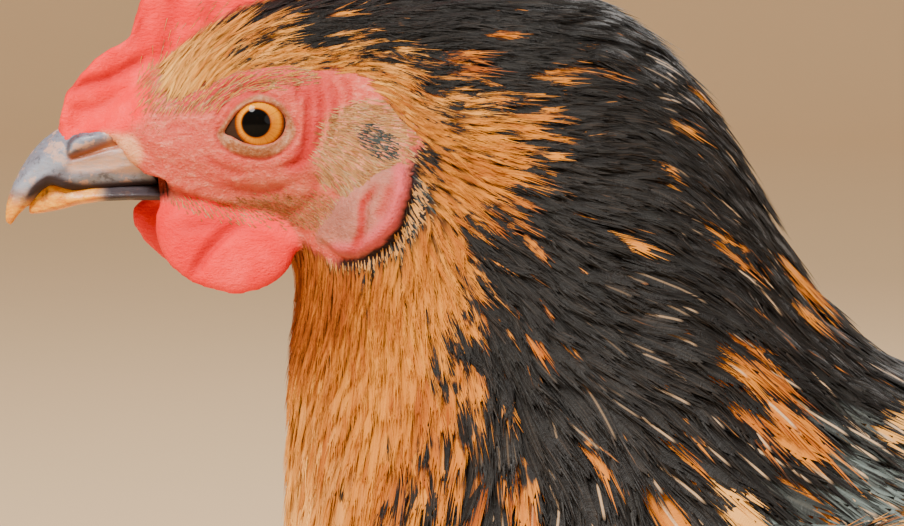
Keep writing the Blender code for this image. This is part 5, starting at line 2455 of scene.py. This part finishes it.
    def _tail(self) -> None:
        """The tented tail feathers and the coverts over their roots."""
        flocks = []
        for side in Side:
            share = np.linspace(0.0, 1.0, self.tail_pairs)[:, None]
            roots = between((252, -106), (243, -70), share)
            angle = np.radians(24.0 + 34.0 * share[:, 0] ** 0.9)
            lengths = 108.0 + 34.0 * share[:, 0] ** 0.7
            tips = roots + np.stack((np.cos(angle), np.sin(angle)), 1) * lengths[:, None]
            flocks.append(self._drawn(roots, tips, side, 10.0, share[:, 0] * 0.8, 5.0))
        every = np.concatenate([flock.path[:, 0] for flock in flocks])
        hand_out(spread_map(every[:, 2], every[:, 1]), flocks)
        self.weaver.weave("tail_feathers", flocks, "plumage_black")
        wanted = (self.kinds == Part.TAIL.value) & (self.middles[:, 0] - self.middles[:, 2] * 0.5 < 330.0)
        spots, _ = self._roots(wanted, np.full(len(self.middles), self.tail_spacing))
        back, out, up = spots.T
        count, far = len(spots), ease(back + up * 0.8, 170.0, 320.0)
        lengths = 24.0 + 16.0 * self.rng.random(count)
        lift = self.rng.uniform(0.0, 1.0, count)
        path, normal = self._trace(spots, lengths, self._tail_lie, np.full(count, 3.5), lift)
        bake = spread_map(back + up, np.sign(out) * (back - up + 100.0))
        gold = np.clip(self.rng.normal(0.12, 0.1, count), 0.0, 0.4)
        tone = self.rng.random(count)
        flock = Feathers(path, normal, 6.4 - 1.5 * far, bake, gold, tone, BODY, sheen=0.05, quill=0.12)
        self.weaver.weave("tail_coverts", [flock], "plumage_black")

    @staticmethod
    def _tail_lie(places: Array) -> Array:
        """The direction of the coat over the tail, from flat at its foot to steep at its top.

        Args:
            places: The places.

        Returns:
            A direction for each.
        """
        height = places[:, 2] - 0.3 * (places[:, 0] - 250.0)
        angle = np.radians(np.interp(height, (-110.0, -40.0), (14.0, 52.0)))
        return np.column_stack((np.cos(angle), np.zeros(len(places)), np.sin(angle)))

    def _face_tracts(self) -> None:
        """The bristles of the jaw and lore, the fringe of the brow, and the tufts that hide the ears."""
        ground = Surface(bpy.data.objects["skin"].data)
        flocks, places = [], []
        for tract in self._tracts(ground.places[ground.triangles].mean(1)):
            spacing = np.full(len(ground.triangles), tract.spacing)
            spots, index = ground.scatter(self.rng, tract.wanted, spacing)
            spots = spots[self.rng.random(len(spots)) > ease(tract.edge[index], 0.35, 1.05)]
            back, _, up = spots.T
            count = len(spots)
            lengths = tract.length * self.rng.uniform(0.7, 1.2, count)
            lift = self.rng.uniform(0.35, 1.0, count)
            path, normal = self._trace(spots, lengths, tract.lie, np.full(count, 0.15), lift, ground)
            gold = self.rng.uniform(tract.gold, 1.0, count)
            ear_gap = np.hypot(back - 18.3, (up + 2.6) * 1.3 + (back - 18.3) * 0.5)
            dark = self.rng.uniform(0.05, 0.5, count)
            gold = np.where((ear_gap < 3.4) & (tract.lie == self._ear_lie), dark, gold)
            flocks.append(
                Feathers(
                    path, normal, np.full(count, tract.width), np.zeros((count, 2)), gold,
                    self.rng.random(count), tract.vane, sheen=0.6, buff=0.5 - 0.5 * tract.beige,
                    beige=np.maximum(tract.beige, self.rng.random(count)), quill=0.0, dim=0.0,
                )
            )
            places.append(spots)
        # The plumes behind the earlobe, last in the list, are less cream.
        flocks[-1].beige *= 0.5
        back, out, up = np.concatenate(places).T
        hand_out(spread_map(back, (up + 60.0) * np.sign(out)), flocks)
        self.weaver.weave("face_bristles", flocks, "plumage_gold")

    def _tracts(self, middles: Array) -> Iterable[Tract]:
        """The patches of small feathers on the face, over the triangles of the skin.

        Args:
            middles: The middle of each triangle.

        Returns:
            The patches, in the order of their making.
        """
        flat = middles[:, (0, 2)]
        back, out, up = middles.T
        near = (back < 26.0) & (up > -20.0) & (up < 18.0) & (np.abs(out) > 2.5)
        near_comb = (back < 0.0) & (up > 2.0) & (up < 22.0) & (back > -22.0)
        kinds = np.full(len(middles), -1)
        kinds[near | near_comb] = NODES.kind(middles[near | near_comb])
        soft = near & np.isin(kinds, (Part.BODY.value, Part.WATTLE.value))
        jaw, along = line_distance(flat, rounded(JAW))
        jaw /= 1.5 + 3.2 * along
        gap, ear = bare_gap(middles), inside(flat, EAR)
        brow = np.abs(gap + 0.8) / np.interp(back, (-9.0, 0.0), (4.0, 2.2))
        fringe = soft & (brow < 1.0) & (up > 1.0) & (back < 8.0)
        lore, crest = beside(flat, LORE), beside(flat, CREST)
        hairy = near_comb & (kinds == Part.COMB.value) & (crest < 3.6)
        collar = (np.abs(gap - 2.4) < 1.9) & (np.abs(out) > 4.0)
        collar &= (np.abs(back - 20.0) < 9.5) & (np.abs(up + 14.5) < 12.5)
        return (
            Tract(hairy, crest / 3.6, 1.15, 5.2, 0.08, self._crest_lie, HAIR, 0.55, 0.0),
            Tract(soft & (jaw < 1.0), jaw, 0.44, 2.7, 0.13, self._jaw_lie, HAIR, 0.8, 0.5),
            Tract(soft & (lore < 3.6), lore / 3.6, 0.75, 2.4, 0.05, self._lore_lie, HAIR, 0.7, 0.3),
            Tract(fringe, brow, 0.46, 4.8, 0.19, self._lie, TUFT, 0.9, 0.0),
            Tract(soft & (ear > -1.2), (1.0 - ear) / 2.2, 0.4, 5.0, 0.27, self._ear_lie, TUFT, 0.85, 0.55),
            Tract(collar, gap / 5.0, 0.55, 6.0, 0.44, self._lie, TUFT, 0.3, 0.1),
        )

    @staticmethod
    def _slant(angle: Array) -> Array:
        """Directions straight back that drop by an angle, in degrees."""
        turn = np.radians(angle)
        return np.column_stack((np.cos(turn), np.zeros(len(turn)), -np.sin(turn)))

    def _jaw_lie(self, places: Array) -> Array:
        """Steeply down at the gape, and almost straight back towards the ear."""
        return self._slant(np.interp(places[:, 0], (-13.0, 10.0), (62.0, 24.0)))

    def _lore_lie(self, places: Array) -> Array:
        """Up and back, away from the nostril."""
        return self._slant(np.interp(places[:, 0], (-20.0, -10.0), (-62.0, -30.0)))

    def _crest_lie(self, places: Array) -> Array:
        """Steeply up the foot of the comb, and more and more back."""
        return self._slant(np.interp(places[:, 0], (-18.0, -4.0), (-78.0, -40.0)))

    def _ear_lie(self, places: Array) -> Array:
        """Back and a little down, over the opening of the ear."""
        return self._slant(np.interp(places[:, 2], (-10.0, 4.0), (38.0, 8.0)))


# ---------------------------------------------------------------- studio


@dataclass
class Studio:
    """The pale floor, the soft lamps and the camera."""

    target: tuple[float, float, float] = (31.7, -14.0, -23.3)
    turn: float = -6.0
    rise: float = 5.0
    distance: float = 520.0
    view_width: float = 149.2
    sensor: float = 36.0
    floor_radius: float = 6.5
    floor_rise: float = 4.0
    floor_bend: float = 1.6

    def build(self) -> None:
        """Sets up the whole studio."""
        self._floor()
        self._lamps()
        self._camera()

    def _floor(self) -> None:
        """A round floor that sweeps up far behind on every side."""
        bm = bmesh.new()
        bmesh.ops.create_circle(bm, cap_ends=True, segments=96, radius=self.floor_radius)
        rim = bm.edges[:]
        steps = 12
        for step in range(1, steps + 1):
            angle = math.pi / 2 * step / steps
            radius = self.floor_radius + self.floor_bend * math.sin(angle)
            height = self.floor_bend * (1.0 - math.cos(angle)) + (self.floor_rise if step == steps else 0.0)
            made = bmesh.ops.extrude_edge_only(bm, edges=rim)["geom"]
            for vert in (item for item in made if isinstance(item, bmesh.types.BMVert)):
                flat = vert.co.xy.normalized() * radius
                vert.co = (flat.x, flat.y, height)
            rim = [item for item in made if isinstance(item, bmesh.types.BMEdge)]
        bmesh.ops.recalc_face_normals(bm, faces=bm.faces)
        mesh = bpy.data.meshes.new("floor")
        bm.to_mesh(mesh)
        bm.free()
        mesh.shade_smooth()
        mesh.materials.append(FloorFinish().make())
        floor = bpy.data.objects.new("floor", mesh)
        bpy.context.scene.collection.objects.link(floor)

    def _lamps(self) -> None:
        """A large key lamp above the camera's left, a fill and a lamp behind, in a pale room."""
        world = bpy.data.worlds.new("room")
        world.use_nodes = True
        world.node_tree.nodes["Background"].inputs["Color"].default_value = (0.93, 0.95, 1.0, 1.0)
        world.node_tree.nodes["Background"].inputs["Strength"].default_value = 0.5
        bpy.context.scene.world = world
        lamps = (
            ("key", (-1.0, -1.3, 2.0), 0.8, 130.0, (1.0, 0.96, 0.9)),
            ("fill", (1.3, -1.8, 0.8), 1.4, 16.0, (0.95, 0.97, 1.0)),
            ("back", (0.9, 1.5, 1.7), 1.0, 30.0, (1.0, 0.98, 0.95)),
        )
        for name, place, size, power, colour in lamps:
            light = bpy.data.lights.new(name, "AREA")
            light.shape = "DISK"
            light.size = size
            light.energy = power
            light.color = colour
            lamp = bpy.data.objects.new(name, light)
            lamp.location = place
            aim = Vector(to_world(np.array(self.target))) - Vector(place)
            lamp.rotation_euler = aim.to_track_quat("-Z", "Y").to_euler()
            lamp.visible_camera = False
            bpy.context.scene.collection.objects.link(lamp)

    def _camera(self) -> None:
        """A long lens at the bird's left, a little ahead of it and a little above its eye."""
        camera = bpy.data.cameras.new("camera")
        camera.sensor_width = self.sensor
        camera.lens = self.sensor * self.distance / self.view_width
        turn, rise = math.radians(self.turn), math.radians(self.rise)
        away = Vector((math.sin(turn) * math.cos(rise), -math.cos(turn) * math.cos(rise), math.sin(rise)))
        target = Vector(to_world(np.array(self.target)))
        obj = bpy.data.objects.new("camera", camera)
        obj.location = target + away * self.distance * MM
        obj.rotation_euler = (-away).to_track_quat("-Z", "Y").to_euler()
        camera.clip_start = 0.01
        bpy.context.scene.collection.objects.link(obj)
        bpy.context.scene.camera = obj


def main() -> None:
    """Builds the bird, piece by piece, and the studio round it."""
    logging.basicConfig(level=logging.INFO, format="%(name)s %(message)s")
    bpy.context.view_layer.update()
    Skin().build()
    for side in Side:
        Eye(side).build()
        Claws(side).build()
    bill = Bill()
    bill.upper()
    bill.lower()
    Plumage().build()
    Studio().build()


if __name__ == "__main__":
    main()
